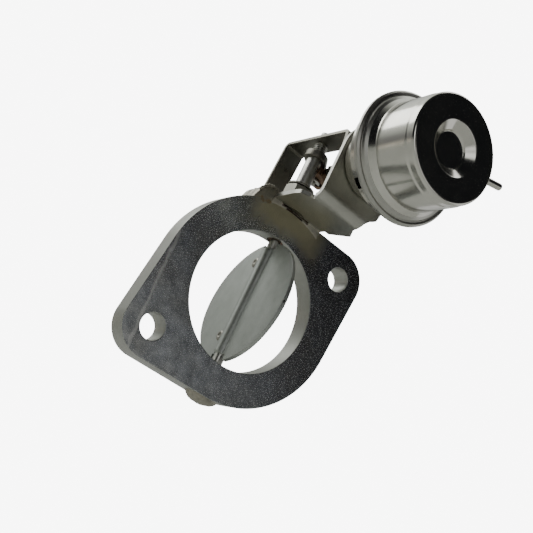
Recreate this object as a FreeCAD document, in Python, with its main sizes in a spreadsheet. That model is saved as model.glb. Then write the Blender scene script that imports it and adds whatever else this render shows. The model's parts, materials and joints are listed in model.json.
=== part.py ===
"""Exhaust flap valve, closed by a vacuum can through a rod and a lever.

X runs to the right, Y along the gas flow and Z up the flap's shaft. The origin is the centre of
the bore, midway through the flange. The flap stands open, in line with the flow.
All lengths are in millimetres and all angles in degrees.
"""

import FreeCAD
import Part
import Sketcher
import os
import re

Vector = FreeCAD.Vector
Rotation = FreeCAD.Rotation

doc = FreeCAD.newDocument("exhaust_flap_valve")

# Driving dimensions: name, value, what it is

SIZES = [
    ("bore_dia", 63.0, "gas passage through the flange"),
    ("flange_thick", 10.4, "flange along the flow"),
    ("rim_rad", 46.75, "flange outline round the bore, and the height of its flanks"),
    ("lobe_rad", 13.65, "flange outline round a bolt hole"),
    ("bolt_pitch", 98.7, "between the two bolt holes"),
    ("bolt_hole_dia", 11.5, "clearance hole for a 10 mm bolt"),
    ("shaft_dia", 5.0, "flap shaft"),
    ("run_gap", 0.05, "radial running clearance of a shaft or rod"),
    ("bush_wall", 1.5, "wall of a shaft bush"),
    ("bush_gap", 0.35, "between the upper bush and the gland's spigot"),
    ("low_bush_cover", 4.75, "lower bush end inside the flank"),
    ("bush_inset", 0.5, "bush end behind the bore wall"),
    ("end_play", 0.5, "below the shaft's lower end"),
    ("plug_reach", 8.0, "half length of the weld cap under the shaft"),
    ("plug_depth", 4.9, "half width of the weld cap along the flow"),
    ("plug_height", 3.3, "weld cap below the flank"),
    ("flap_gap", 1.2, "between the flap's edge and the bore"),
    ("flap_sheet", 1.0, "sheet of one flap plate"),
    ("channel_end", 26.8, "end of a flap plate's channel from the bore centre"),
    ("notch_half", 5.2, "half width of the notch in a flap plate beyond its channel"),
    ("rivet_offset", 5.8, "rivets behind the shaft axis"),
    ("rivet_upper", 20.0, "upper rivet above the bore centre"),
    ("rivet_lower", 17.8, "lower rivet below the bore centre"),
    ("rivet_dia", 2.4, "rivet shank"),
    ("rivet_head_dia", 4.6, "rivet head"),
    ("rivet_head", 0.8, "height of a rivet head"),
    ("foot_sheet", 2.0, "sheet of the mounting bracket"),
    ("foot_left", 13.0, "left edge of the foot from the shaft"),
    ("foot_right", 16.4, "right edge of the foot on the flange"),
    ("foot_ear", 22.7, "right ear of the foot in front of the flange"),
    ("foot_tail", 7.0, "half width of the foot behind the flange"),
    ("neck_left", 8.2, "left edge of the bend"),
    ("neck_right", 17.8, "right edge of the bend"),
    ("relief_rad", 1.5, "relief notch at the left end of the bend"),
    ("bend_rad", 5.0, "outside radius of the bend"),
    ("plate_reach", 33.0, "front of the mounting plate from the bore centre"),
    ("plate_ear", 24.0, "corner of the mounting plate above the scallop"),
    ("plate_ear_rise", 9.5, "that corner above the foot"),
    ("strap_sheet", 1.5, "sheet of the bridge strap"),
    ("strap_width", 11.0, "bridge strap across"),
    ("coil_room", 5.5, "between the lever hub and the strap"),
    ("strap_back", 24.8, "inner face of the back leg from the shaft, at the foot"),
    ("strap_lean", 2.7, "lean of the back leg towards the shaft, foot to top"),
    ("strap_fall", 2.4, "fall of the strap's top, back bend to front bend"),
    ("strap_front", 24.8, "inner face of the front leg from the shaft, at the top"),
    ("strap_meet", 13.25, "height over the foot where the front leg meets the mounting plate"),
    ("strap_toe", 5.75, "lower end of the front leg over the foot"),
    ("strap_bend", 3.0, "outside bend radius of the strap"),
    ("tail_over", 2.5, "foot behind the strap"),
    ("foot_taper", 7.0, "length of the foot's taper behind the flange"),
    ("foot_behind", 9.0, "full width of the foot behind the shaft"),
    ("foot_step", 8.8, "step of the foot's right edge, in front of the shaft"),
    ("foot_step_out", 2.3, "step of the foot's right edge"),
    ("ear_reach", 20.6, "ear in front of the shaft"),
    ("foot_corner", 4.8, "bevelled front left corner of the foot"),
    ("scallop_in", 2.7, "scallop of the mounting plate under its corner"),
    ("scallop_drop", 4.1, "scallop of the mounting plate under its corner"),
    ("strap_mark_dia", 1.6, "punched tooling mark in the back leg"),
    ("strap_mark_deep", 0.7, "punched tooling mark"),
    ("strap_mark_rise", 27.2, "tooling mark over the foot"),
    ("gland_dia", 16.0, "gland body outside"),
    ("gland_bore", 10.0, "stuffing box of the gland body"),
    ("gland_rise", 5.4, "gland body above the foot"),
    ("gland_floor", 1.4, "below the packing"),
    ("spigot_dia", 9.0, "gland spigot in the flange"),
    ("spigot_len", 2.4, "gland spigot in the flange"),
    ("sheet_gap", 0.1, "radial, round what passes through a sheet"),
    ("packing_len", 2.6, "graphite packing"),
    ("gland_nut_flats", 12.0, "gland nut across flats"),
    ("gland_nut_len", 6.0, "gland nut hexagon"),
    ("slip_gap", 0.2, "between faces that slide past each other"),
    ("washer_dia", 13.0, "thrust washer"),
    ("washer_thick", 1.0, "thrust washer"),
    ("sleeve_dia", 7.4, "spacer sleeve"),
    ("sleeve_len", 15.85, "spacer sleeve"),
    ("hub_dia", 11.0, "lever hub"),
    ("hub_len", 3.4, "lever hub"),
    ("lever_thick", 3.0, "lever arm"),
    ("lever_rad", 11.8, "shaft axis to lever pin"),
    ("lever_tip", 4.2, "radius of the lever's tip"),
    ("swing", 90.0, "flap and lever, open to closed"),
    ("hub_pin_dia", 1.6, "spring pin through hub and shaft"),
    ("pin_dia", 4.0, "lever pin"),
    ("pin_head_dia", 6.4, "lever pin head"),
    ("pin_head", 1.2, "lever pin head"),
    ("pin_tail", 2.0, "lever pin below the rod end"),
    ("pin_slack", 0.5, "pin to slot along the rod"),
    ("pin_spare", 0.3, "pin to slot end across the rod"),
    ("clip_dia", 8.0, "retaining clip outside"),
    ("clip_thick", 0.9, "retaining clip"),
    ("clip_groove", 0.5, "depth of a clip groove"),
    ("clip_mouth", 2.6, "open side of a clip"),
    ("shaft_over", 4.6, "shaft above the strap"),
    ("coil_wire", 0.6, "wire of the shaft spring"),
    ("coil_slack", 0.15, "radial, shaft spring round the shaft"),
    ("coil_turns", 4.0, "turns of the shaft spring"),
    ("seat_gap", 0.3, "at each end of a spring"),
    ("rod_dia", 5.0, "actuator rod"),
    ("rod_end_wall", 2.2, "metal before and behind the slot"),
    ("rod_end_side", 1.9, "metal beside the slot"),
    ("rod_end_round", 1.2, "rounded upright edges of the rod end"),
    ("thread_short", 0.6, "rod short of the shank's end"),
    ("rod_end_thick", 4.0, "rod end along the pin"),
    ("shank_dia", 7.6, "round shank of the rod end"),
    ("rod_end_neck", 4.2, "flat of the rod end in front of the slot's metal"),
    ("shank_len", 4.2, "round shank of the rod end"),
    ("lock_nut_flats", 9.0, "lock nut across flats"),
    ("lock_nut_len", 3.6, "lock nut"),
    ("guide_dia", 8.4, "rod guide bush"),
    ("guide_out", 1.2, "guide behind the mounting plate"),
    ("guide_in", 8.0, "guide inside the mounting plate"),
    ("rod_collar_dia", 8.0, "collar of the rod behind the backing plate"),
    ("rod_collar", 2.0, "collar of the rod"),
    ("stud_dia", 4.0, "actuator stud"),
    ("stud_spread", 13.4, "stud from the rod axis"),
    ("stud_head_dia", 5.2, "stud head inside the shell"),
    ("stud_head", 1.2, "stud head inside the shell"),
    ("stud_over", 1.5, "stud past its nut"),
    ("stud_nut_flats", 7.0, "stud nut across flats"),
    ("stud_nut_len", 3.2, "stud nut"),
    ("lock_washer", 1.0, "spring washer under a stud nut"),
    ("lock_washer_dia", 7.0, "spring washer under a stud nut"),
    ("can_sheet", 0.8, "drawn sheet of the actuator shells"),
    ("pad_rad", 17.0, "flat rear of the rear shell"),
    ("pad_depth", 11.6, "rear shell, flat to shoulder"),
    ("shoulder_depth", 13.0, "rear shell, flat to straight wall"),
    ("shell_rad", 24.6, "straight wall of the rear shell"),
    ("shell_draft", 1.0, "pad wall, wider at the shoulder"),
    ("shell_corner", 1.6, "bevelled corner of the shoulder"),
    ("rim_out", 29.1, "crimped rim of the front can"),
    ("rim_back", 53.4, "back of the rim from the bore centre"),
    ("rim_front", 56.0, "front of the rim from the bore centre"),
    ("curl", 0.4, "crimped edge behind the rear shell's flange"),
    ("curl_bevel", 0.7, "bevelled outside of the crimped edge"),
    ("curl_in", 27.2, "inner radius of the crimped edge"),
    ("bead_rad", 25.4, "small bead inside the rim's face"),
    ("bead_rise", 1.2, "small bead, in front of the rim"),
    ("can_rad", 23.3, "front can"),
    ("can_front", 82.0, "face of the can from the bore centre"),
    ("can_corner", 1.4, "rounded front corner of the can"),
    ("root_rise", 3.4, "hollow root of the can in front of the rim"),
    ("dish_rad", 12.0, "dished centre of the can's face"),
    ("dish_floor_rad", 7.5, "floor of the dish"),
    ("dish_depth", 3.4, "dish"),
    ("vent_width", 5.0, "vent window round the rear shell"),
    ("vent_len", 2.8, "vent window along the rear shell"),
    ("vent_inset", 2.0, "vent centre from the edge of the straight wall"),
    ("vent_turn", -122.5, "first vent round the rod axis, from X"),
    ("vent_count", 4.0, "vent windows"),
    ("nipple_dia", 3.3, "vacuum nipple"),
    ("nipple_bore", 1.7, "vacuum nipple"),
    ("nipple_reach", 42.0, "nipple tip from the rod axis"),
    ("nipple_turn", 15.0, "nipple round the rod axis, from X"),
    ("nipple_at", 70.0, "nipple from the bore centre, along the rod"),
    ("collar_dia", 5.6, "brazed collar of the nipple"),
    ("collar_len", 1.6, "brazed collar of the nipple"),
    ("rubber", 1.0, "diaphragm sheet"),
    ("roll_gap", 0.6, "between the diaphragm's roll and the rear shell's wall"),
    ("roll_width", 3.6, "the diaphragm's roll"),
    ("roll_rise", 4.0, "roll behind the diaphragm's plane"),
    ("bead_lip", 0.1, "clamped bead, inside the rear shell's wall"),
    ("cup_gap", 0.6, "between the piston cup and the diaphragm's roll"),
    ("cup_sheet", 1.0, "piston cup"),
    ("cup_depth", 6.0, "piston cup"),
    ("cup_at", 53.2, "back of the piston cup from the bore centre"),
    ("backing_rad", 16.0, "backing plate"),
    ("backing_thick", 1.0, "backing plate"),
    ("piston_nut_flats", 8.0, "nut on the rod's inner end"),
    ("piston_nut_len", 3.4, "nut on the rod's inner end"),
    ("rod_over", 0.8, "rod past the piston nut"),
    ("return_room", 2.1, "between the return spring and the piston cup's wall"),
    ("return_wire", 1.8, "wire of the return spring"),
    ("return_turns", 4.25, "turns of the return spring"),
    ("weld_reach", 23.0, "left end of the foot weld from the shaft"),
    ("weld_slope", 1.7, "foot weld, its left side from foot to crown"),
    ("weld_crown", 3.5, "foot weld, end of its round crown"),
    ("weld_height", 4.25, "foot weld above the flank"),
    ("weld_lap", 2.5, "foot weld over the foot"),
    ("weld_back", 9.0, "foot weld behind the shaft"),
    ("bead_leg", 2.2, "weld bead along the foot"),
    ("seam_leg", 1.0, "weld beads along the strap"),
]

# Sizes and places that follow from the driving ones: name, formula

PLACES = [
    ("bore_rad", "bore_dia / 2"),
    ("face", "flange_thick / 2"),
    ("bolt_z", "rim_rad - lobe_rad"),
    ("bolt_x", "sqrt((bolt_pitch / 2) ^ 2 - bolt_z ^ 2)"),
    ("bolt_cos", "bolt_x / (bolt_pitch / 2)"),
    ("bolt_sin", "bolt_z / (bolt_pitch / 2)"),
    ("flank_cos", "2 * bolt_cos * bolt_sin"),
    ("flank_sin", "bolt_sin ^ 2 - bolt_cos ^ 2"),
    ("shaft_rad", "shaft_dia / 2"),
    ("shaft_hole", "shaft_rad + run_gap"),
    ("bush_rad", "shaft_hole + bush_wall"),
    ("bush_low", "bore_rad + bush_inset"),
    ("low_bush_end", "rim_rad - low_bush_cover"),
    ("low_bush_len", "low_bush_end - bush_low"),
    ("shaft_low", "low_bush_end - end_play"),
    ("foot_top", "rim_rad + foot_sheet"),
    ("spigot_low", "rim_rad - spigot_len"),
    ("bush_len", "spigot_low - bush_gap - bush_low"),
    ("weld_toe", "rim_rad - 2 * weld_crown"),
    ("weld_brow", "rim_rad + weld_height - weld_slope / 2"),
    ("gland_top", "foot_top + gland_rise"),
    ("packing_low", "foot_top + gland_floor"),
    ("packing_top", "packing_low + packing_len"),
    ("gland_nut_top", "gland_top + gland_nut_len"),
    ("washer_low", "gland_nut_top + slip_gap"),
    ("sleeve_low", "washer_low + washer_thick"),
    ("hub_low", "sleeve_low + sleeve_len"),
    ("hub_top", "hub_low + hub_len"),
    ("arm_top", "hub_low + lever_thick"),
    ("hub_pin_rise", "hub_low + hub_len / 2"),
    ("strap_rise", "hub_top + coil_room"),
    ("strap_top", "strap_rise + strap_sheet"),
    ("strap_end", "strap_back + strap_sheet"),
    ("strap_corner", "strap_back - strap_lean"),
    ("strap_pitch", "strap_fall / (strap_corner + strap_front)"),
    ("back_rise", "strap_rise + strap_pitch * strap_corner"),
    ("front_rise", "strap_rise - strap_pitch * strap_front"),
    ("meet_rise", "foot_top + strap_meet"),
    ("toe_rise", "foot_top + strap_toe"),
    ("mark_face", "strap_back - strap_lean * strap_mark_rise / (back_rise - foot_top)"),
    ("tail_end", "strap_end + tail_over"),
    ("rod_rise", "hub_low - slip_gap - rod_end_thick / 2"),
    ("shaft_top", "strap_top + shaft_over"),
    ("clip_low", "strap_top + strap_pitch * clip_dia / 2 + slip_gap"),
    ("lever_turn", "swing / 2"),
    ("hub_rad", "hub_dia / 2"),
    ("arm_sin", "(hub_rad - lever_tip) / lever_rad"),
    ("arm_cos", "sqrt(1 - arm_sin ^ 2)"),
    ("pin_x", "lever_rad * cos(lever_turn)"),
    ("pin_y", "lever_rad * sin(lever_turn)"),
    ("rod_x", "(lever_rad + pin_x) / 2"),
    ("rod_end_low", "rod_rise - rod_end_thick / 2"),
    ("rod_end_top", "rod_rise + rod_end_thick / 2"),
    ("slot_across", "lever_rad - pin_x + pin_dia + 2 * pin_spare"),
    ("slot_along", "pin_dia + 2 * pin_slack"),
    ("eye_across", "slot_across + 2 * rod_end_side"),
    ("eye_along", "slot_along + 2 * rod_end_wall"),
    ("eye_front", "pin_y - eye_along / 2 - rod_end_neck"),
    ("shank_front", "eye_front - shank_len"),
    ("pin_low", "rod_end_low - pin_tail"),
    ("pin_clip_low", "rod_end_low - slip_gap - clip_thick"),
    ("plate_front", "-plate_reach"),
    ("plate_back", "plate_front + foot_sheet"),
    ("bend_y", "plate_front + bend_rad"),
    ("bend_z", "rim_rad + bend_rad"),
    ("plate_rad", "rod_x + neck_left"),
    ("washer_y", "plate_back + lock_washer"),
    ("stud_nut_y", "washer_y + stud_nut_len"),
    ("stud_tip", "stud_nut_y + stud_over"),
    ("step_y", "plate_front - pad_depth"),
    ("wall_y", "plate_front - shoulder_depth"),
    ("shell_flange", "-rim_back - curl"),
    ("rim_face", "-rim_front"),
    ("rim_inside", "rim_out - can_sheet"),
    ("shell_inside", "shell_rad - can_sheet"),
    ("roll_out", "shell_inside - roll_gap"),
    ("roll_in", "roll_out - roll_width"),
    ("rim_bead_in", "shell_inside - bead_lip"),
    ("cup_rad", "roll_in - cup_gap"),
    ("return_rad", "cup_rad - cup_sheet - return_room - return_wire / 2"),
    ("vent_reach", "vent_inset - wall_y"),
    ("rim_floor", "-rim_front + can_sheet"),
    ("can_face", "-can_front"),
    ("can_inside", "can_rad - can_sheet"),
    ("can_floor", "can_face + can_sheet"),
    ("cup_back", "-cup_at"),
    ("cup_front", "cup_back - cup_sheet"),
    ("rubber_back", "cup_back + rubber"),
    ("rod_tip", "cup_front - piston_nut_len - rod_over"),
    ("rod_rad", "rod_dia / 2"),
    ("rod_hole", "rod_rad + run_gap"),
    ("flap_rad", "bore_rad - flap_gap"),
    ("channel_rad", "shaft_rad + flap_sheet"),
]

SHEET_OF = {entry[0]: "sizes." for entry in SIZES}
SHEET_OF.update({entry[0]: "places." for entry in PLACES})


def formula(text, own=""):
    """A formula in plain names, with each name turned into the address of its cell."""
    def address(word):
        sheet = SHEET_OF.get(word.group(), "")
        return word.group() if sheet == own else sheet + word.group()
    return re.sub(r"[a-z][a-z_]*", address, text)


def fill_sheet(name, rows):
    sheet = doc.addObject("Spreadsheet::Sheet", name)
    for row, (alias, content, *meaning) in enumerate(rows, start=1):
        sheet.set("A%d" % row, alias)
        is_formula = isinstance(content, str)
        sheet.set("B%d" % row, "=" + formula(content, name + ".") if is_formula else str(content))
        sheet.setAlias("B%d" % row, alias)
        if meaning:
            sheet.set("C%d" % row, meaning[0])
    doc.recompute()
    return sheet


sizes = fill_sheet("sizes", SIZES)
places = fill_sheet("places", PLACES)


def number(text):
    """What a formula comes to now."""
    result = sizes.evalExpression(formula(text))
    return float(getattr(result, "Value", result))


# Helpers that make bound objects

TURN = {
    "up": Rotation(),
    "down": Rotation(Vector(1, 0, 0), 180),
    "back": Rotation(Vector(1, 0, 0), -90),
    "forward": Rotation(Vector(1, 0, 0), 90),
    "right": Rotation(Vector(0, 1, 0), 90),
}
ORIGIN = ("0", "0", "0")


def bind(item, **formulas):
    for name, text in formulas.items():
        item.setExpression(name, formula(text))
    return item


def place(item, at, axis="up"):
    """Stand an object at a bound place, its own Z along one of the named directions."""
    item.Placement = FreeCAD.Placement(Vector(), TURN[axis])
    for letter, text in zip("xyz", at):
        item.setExpression("Placement.Base." + letter, formula(text))
    return item


def cylinder(name, radius, length, at=ORIGIN, axis="up"):
    item = bind(doc.addObject("Part::Cylinder", name), Radius=radius, Height=length)
    return place(item, at, axis)


def box(name, low, high):
    item = doc.addObject("Part::Box", name)
    for side, start, end in zip(("Length", "Width", "Height"), low, high):
        item.setExpression(side, formula("(%s) - (%s)" % (end, start)))
    return place(item, low)


def hexagon(name, flats, length, at, axis):
    item = doc.addObject("Part::Prism", name)
    item.Polygon = 6
    bind(item, Circumradius="(%s) / sqrt(3)" % flats, Height=length)
    return place(item, at, axis)


def fuse(name, parts):
    item = doc.addObject("Part::MultiFuse", name)
    item.Shapes = parts
    item.Refine = True
    return item


def cut(name, base, tools):
    item = doc.addObject("Part::Cut", name)
    item.Base = base
    item.Tool = tools[0] if len(tools) == 1 else fuse(name + "_tools", tools)
    return item


def group(name, parts):
    """Separate solids of one kind in one node."""
    item = doc.addObject("Part::Compound", name)
    item.Links = parts
    return item


def ring(name, outer, inner, length, at, axis):
    return cut(name, cylinder(name + "_disc", outer, length, at, axis),
               [cylinder(name + "_hole", inner, length, at, axis)])


def sketch_on(body, name, plane, lift="0"):
    """An empty sketch on one of the body's origin planes, lifted along the plane's normal."""
    sketch = body.newObject("Sketcher::SketchObject", name)
    support = [item for item in body.Origin.OriginFeatures if item.Role == plane][0]
    sketch.AttachmentSupport = [(support, "")]
    sketch.MapMode = "FlatFace"
    sketch.setExpression("AttachmentOffset.Base.z", formula(lift))
    return sketch


def bound_constraint(sketch, constraint, label, text):
    place_in_list = sketch.addConstraint(constraint)
    sketch.renameConstraint(place_in_list, label)
    sketch.setExpression("Constraints." + label, formula(text))


def outline(sketch, points):
    """A closed outline of straight sides, each corner held at a bound place."""
    spots = [Vector(number(across), number(along), 0) for across, along in points]
    last = len(spots) - 1
    for index, spot in enumerate(spots):
        following = 0 if index == last else index + 1
        sketch.addGeometry(Part.LineSegment(spot, spots[following]), False)
    for index, (across, along) in enumerate(points):
        following = 0 if index == last else index + 1
        sketch.addConstraint(Sketcher.Constraint("Coincident", index, 2, following, 1))
        bound_constraint(sketch, Sketcher.Constraint("DistanceX", -1, 1, index, 1, spots[index].x),
                         "across%d" % index, across)
        bound_constraint(sketch, Sketcher.Constraint("DistanceY", -1, 1, index, 1, spots[index].y),
                         "along%d" % index, along)


def new_body(name):
    return doc.addObject("PartDesign::Body", name)


def padded(name, plane, lift, length, points):
    """A body with one outline padded along its plane's normal."""
    body = new_body(name)
    sketch = sketch_on(body, name + "_outline", plane, lift)
    outline(sketch, points)
    pad = body.newObject("PartDesign::Pad", name + "_pad")
    pad.Profile = sketch
    bind(pad, Length=length)
    doc.recompute()
    return body


def turned(name, plane, points):
    """A body turned about the plane's upright axis; a point is its radius and its place along it."""
    body = new_body(name)
    sketch = sketch_on(body, name + "_section", plane)
    outline(sketch, points)
    turn = body.newObject("PartDesign::Revolution", name + "_turn")
    turn.Profile = sketch
    turn.ReferenceAxis = (sketch, ["V_Axis"])
    turn.Angle = 360
    doc.recompute()
    return body


def rounded(body, radius, chosen):
    """Round the edges of a body that a test picks."""
    base = body.Tip
    names = ["Edge%d" % (index + 1) for index, edge in enumerate(base.Shape.Edges) if chosen(edge)]
    fillet = body.newObject("PartDesign::Fillet", body.Name + "_round%d" % len(body.Group))
    fillet.Base = (base, names)
    bind(fillet, Radius=radius)
    body.Tip = fillet
    doc.recompute()
    return body


def runs_along(edge, direction):
    if len(edge.Vertexes) < 2 or not isinstance(edge.Curve, Part.Line):
        return False
    return abs(edge.Curve.Direction.dot(direction)) > 0.999


def middle(edge):
    return edge.CenterOfMass


def coil(name, plane, radius, wire, turns, start, length, at):
    """A wire coil about the plane's upright axis, from start and as long as length."""
    body = new_body(name)
    sketch = sketch_on(body, name + "_wire", plane)
    centre = Vector(number(radius), number(start), 0)
    sketch.addGeometry(Part.Circle(centre, Vector(0, 0, 1), number(wire) / 2), False)
    bound_constraint(sketch, Sketcher.Constraint("DistanceX", -1, 1, 0, 3, centre.x), "across", radius)
    bound_constraint(sketch, Sketcher.Constraint("DistanceY", -1, 1, 0, 3, centre.y), "along", start)
    bound_constraint(sketch, Sketcher.Constraint("Radius", 0, number(wire) / 2), "wire",
                     "(%s) / 2" % wire)
    doc.recompute()
    helix = body.newObject("PartDesign::AdditiveHelix", name + "_turns")
    helix.Profile = sketch
    helix.ReferenceAxis = (sketch, ["V_Axis"])
    helix.Mode = 2
    bind(helix, Height=length, Turns=turns)
    doc.recompute()
    return place(body, at)


ROD = ("rod_x", "0", "rod_rise")


def on_rod(along):
    """A place on the rod's axis."""
    return ("rod_x", along, "rod_rise")


# Flange, bushes and gland

def make_flange_plate():
    web = padded("flange_web", "XZ_Plane", "face * -1", "flange_thick", [
        ("0", "rim_rad"), ("bolt_x", "rim_rad"),
        ("bolt_x + lobe_rad * flank_cos", "bolt_z + lobe_rad * flank_sin"),
        ("rim_rad * flank_cos", "rim_rad * flank_sin"),
        ("0", "-rim_rad"), ("-bolt_x", "-rim_rad"),
        ("-bolt_x - lobe_rad * flank_cos", "-bolt_z - lobe_rad * flank_sin"),
        ("-rim_rad * flank_cos", "-rim_rad * flank_sin")])
    solids = [web, cylinder("flange_rim", "rim_rad", "flange_thick", ("0", "-face", "0"), "back")]
    holes = [cylinder("gas_bore", "bore_rad", "flange_thick", ("0", "-face", "0"), "back")]
    for side, sign in (("right", ""), ("left", "-")):
        centre = (sign + "bolt_x", "-face", sign + "bolt_z")
        solids.append(cylinder(side + "_lobe", "lobe_rad", "flange_thick", centre, "back"))
        holes.append(cylinder(side + "_bolt_hole", "bolt_hole_dia / 2", "flange_thick", centre, "back"))
    holes.append(cylinder("bush_bore", "bush_rad", "2 * rim_rad", ("0", "0", "-rim_rad")))
    holes.append(cylinder("gland_seat", "spigot_dia / 2", "spigot_len", ("0", "0", "spigot_low")))
    return cut("flange_plate", fuse("flange_outline", solids), holes)


def make_upper_bush():
    return ring("upper_bush", "bush_rad", "shaft_hole", "bush_len", ("0", "0", "bush_low"), "up")


def make_lower_bush():
    return ring("lower_bush", "bush_rad", "shaft_hole", "low_bush_len", ("0", "0", "-low_bush_end"), "up")


def make_end_plug():
    cap = doc.addObject("Part::Ellipsoid", "plug_cap")
    cap.Angle1 = -90
    cap.Angle2 = 0
    bind(cap, Radius1="plug_height", Radius2="plug_reach", Radius3="plug_depth")
    place(cap, ("0", "0", "-rim_rad"))
    fill = cylinder("plug_fill", "bush_rad", "rim_rad - low_bush_end", ("0", "0", "-rim_rad"))
    return fuse("end_plug", [cap, fill])


def make_gland_body():
    solid = fuse("gland_turning", [
        cylinder("gland_barrel", "gland_dia / 2", "gland_top - rim_rad", ("0", "0", "rim_rad")),
        cylinder("gland_spigot", "spigot_dia / 2", "spigot_len", ("0", "0", "spigot_low"))])
    return cut("gland_body", solid, [
        cylinder("gland_way", "shaft_hole", "gland_top - spigot_low", ("0", "0", "spigot_low")),
        cylinder("gland_box", "gland_bore / 2", "gland_top - packing_low", ("0", "0", "packing_low"))])


def make_gland_packing():
    return ring("gland_packing", "gland_bore / 2", "shaft_hole", "packing_len",
                ("0", "0", "packing_low"), "up")


def make_gland_nut():
    solid = fuse("gland_nut_turning", [
        hexagon("gland_nut_head", "gland_nut_flats", "gland_nut_len", ("0", "0", "gland_top"), "up"),
        cylinder("gland_nut_thread", "gland_bore / 2", "gland_top - packing_top",
                 ("0", "0", "packing_top"))])
    return cut("gland_nut", solid, [
        cylinder("gland_nut_way", "shaft_hole", "gland_nut_top - packing_top", ("0", "0", "packing_top"))])


# Bracket, strap and welds

def make_mount_bracket():
    foot = padded("bracket_foot", "XY_Plane", "rim_rad", "foot_sheet", [
        ("-foot_left", "foot_behind"), ("-foot_tail", "foot_behind + foot_taper"),
        ("-foot_tail", "tail_end"), ("foot_tail", "tail_end"),
        ("foot_tail", "foot_behind + foot_taper"), ("foot_right", "foot_behind"),
        ("foot_right", "-foot_step"), ("foot_right + foot_step_out", "-foot_step"),
        ("foot_ear", "-ear_reach"), ("neck_right", "bend_y"), ("-neck_left", "bend_y"),
        ("-foot_left + foot_corner", "bend_y + relief_rad"),
        ("-foot_left", "bend_y + relief_rad + foot_corner")])
    upright = padded("bracket_plate", "XZ_Plane", "plate_back * -1", "foot_sheet", [
        ("-neck_left", "bend_z"), ("neck_right", "bend_z"),
        ("plate_ear - scallop_in", "rim_rad + plate_ear_rise - scallop_drop"),
        ("plate_ear", "rim_rad + plate_ear_rise"),
        ("rod_x + plate_rad", "rod_rise"), ("-neck_left", "rod_rise")])
    head = cylinder("bracket_head", "plate_rad", "foot_sheet", on_rod("plate_front"), "back")
    bend = doc.addObject("Part::Cylinder", "bracket_bend")
    bend.Angle = 90
    bind(bend, Radius="bend_rad", Height="neck_left + neck_right")
    bend.Placement.Rotation = Rotation(Vector(0, -1, 0), Vector(0, 0, -1), Vector(1, 0, 0))
    for letter, text in zip("xyz", ("-neck_left", "bend_y", "bend_z")):
        bend.setExpression("Placement.Base." + letter, formula(text))
    bend_inside = cylinder("bend_inside", "bend_rad - foot_sheet", "neck_left + neck_right",
                           ("-neck_left", "bend_y", "bend_z"), "right")
    sheet = fuse("bracket_sheet", [foot, upright, head, cut("bend_sheet", bend, [bend_inside])])
    holes = [
        cylinder("gland_clearance", "gland_dia / 2 + sheet_gap", "foot_sheet", ("0", "0", "rim_rad")),
        cylinder("guide_hole", "guide_dia / 2", "foot_sheet", on_rod("plate_front"), "back")]
    for side, sign in (("upper", "+"), ("lower", "-")):
        holes.append(cylinder(side + "_stud_hole", "stud_dia / 2 + sheet_gap", "foot_sheet",
                              ("rod_x", "plate_front", "rod_rise %s stud_spread" % sign), "back"))
    holes.append(cylinder("left_relief", "relief_rad", "foot_sheet", ("-neck_left", "bend_y", "rim_rad")))
    return cut("mount_bracket", sheet, holes)


def make_bridge_strap():
    body = padded("strap_sheet_body", "YZ_Plane", "-strap_width / 2", "strap_width", [
        ("strap_end", "foot_top"), ("strap_corner + strap_sheet", "back_rise + strap_sheet"),
        ("-strap_front - strap_sheet", "front_rise + strap_sheet"), ("plate_back", "meet_rise"),
        ("plate_back", "toe_rise"), ("plate_back + strap_sheet", "toe_rise"),
        ("plate_back + strap_sheet", "meet_rise"), ("-strap_front", "front_rise"),
        ("strap_corner", "back_rise"), ("strap_back", "foot_top")])
    across = Vector(1, 0, 0)

    def bends(skin):
        corners = [(number("strap_corner") + skin, number("back_rise") + skin),
                   (-number("strap_front") - skin, number("front_rise") + skin)]
        return lambda edge: runs_along(edge, across) and any(
            abs(middle(edge).y - along) < 0.01 and abs(middle(edge).z - height) < 0.01 for along, height in corners)
    rounded(body, "strap_bend", bends(number("strap_sheet")))
    rounded(body, "strap_bend - strap_sheet", bends(0.0))
    return cut("bridge_strap", body, [
        cylinder("strap_shaft_hole", "shaft_hole", "3 * strap_sheet", ("0", "0", "strap_rise - strap_sheet")),
        cylinder("strap_mark", "strap_mark_dia / 2", "2 * strap_mark_deep",
                 ("0", "mark_face - strap_mark_deep", "foot_top + strap_mark_rise"), "back")])


def make_bracket_welds():
    mound = cut("mound_weld", padded("mound_bead", "XZ_Plane", "-weld_back", "weld_back + face", [
        ("-weld_reach", "weld_toe"), ("-weld_reach + weld_slope", "rim_rad - weld_slope / 2"),
        ("-weld_reach + weld_crown", "rim_rad + weld_slope"),
        ("-foot_left - weld_height", "weld_brow"), ("-foot_left", "rim_rad + weld_height"),
        ("-foot_left + weld_lap", "foot_top"), ("-foot_left", "foot_top"), ("-foot_left", "rim_rad"),
        ("-foot_left + weld_lap", "rim_rad"), ("-foot_left + weld_lap", "weld_toe")]),
        [cylinder("mound_seat", "rim_rad", "weld_back + face", ("0", "-face", "0"), "back")])
    right_seam = padded("right_seam", "XZ_Plane", "-face", "flange_thick", [
        ("foot_right", "rim_rad"), ("foot_right + bead_leg", "rim_rad"), ("foot_right", "rim_rad + bead_leg")])
    beads = [mound, right_seam]
    for side, sign in (("left", "-"), ("right", "")):
        edge = sign + "strap_width / 2"
        out = "%sstrap_width / 2 %s seam_leg" % (sign, sign or "+")
        beads.append(padded(side + "_strap_seam", "XY_Plane", "toe_rise", "meet_rise - toe_rise", [
            (edge, "plate_back"), (edge, "plate_back + seam_leg"), (out, "plate_back")]))
    beads.append(padded("back_strap_seam", "YZ_Plane", "-strap_width / 2", "strap_width", [
        ("strap_end", "foot_top"), ("strap_end + seam_leg", "foot_top"), ("strap_end", "foot_top + seam_leg")]))
    return group("bracket_welds", beads)


# Vacuum actuator

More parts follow.
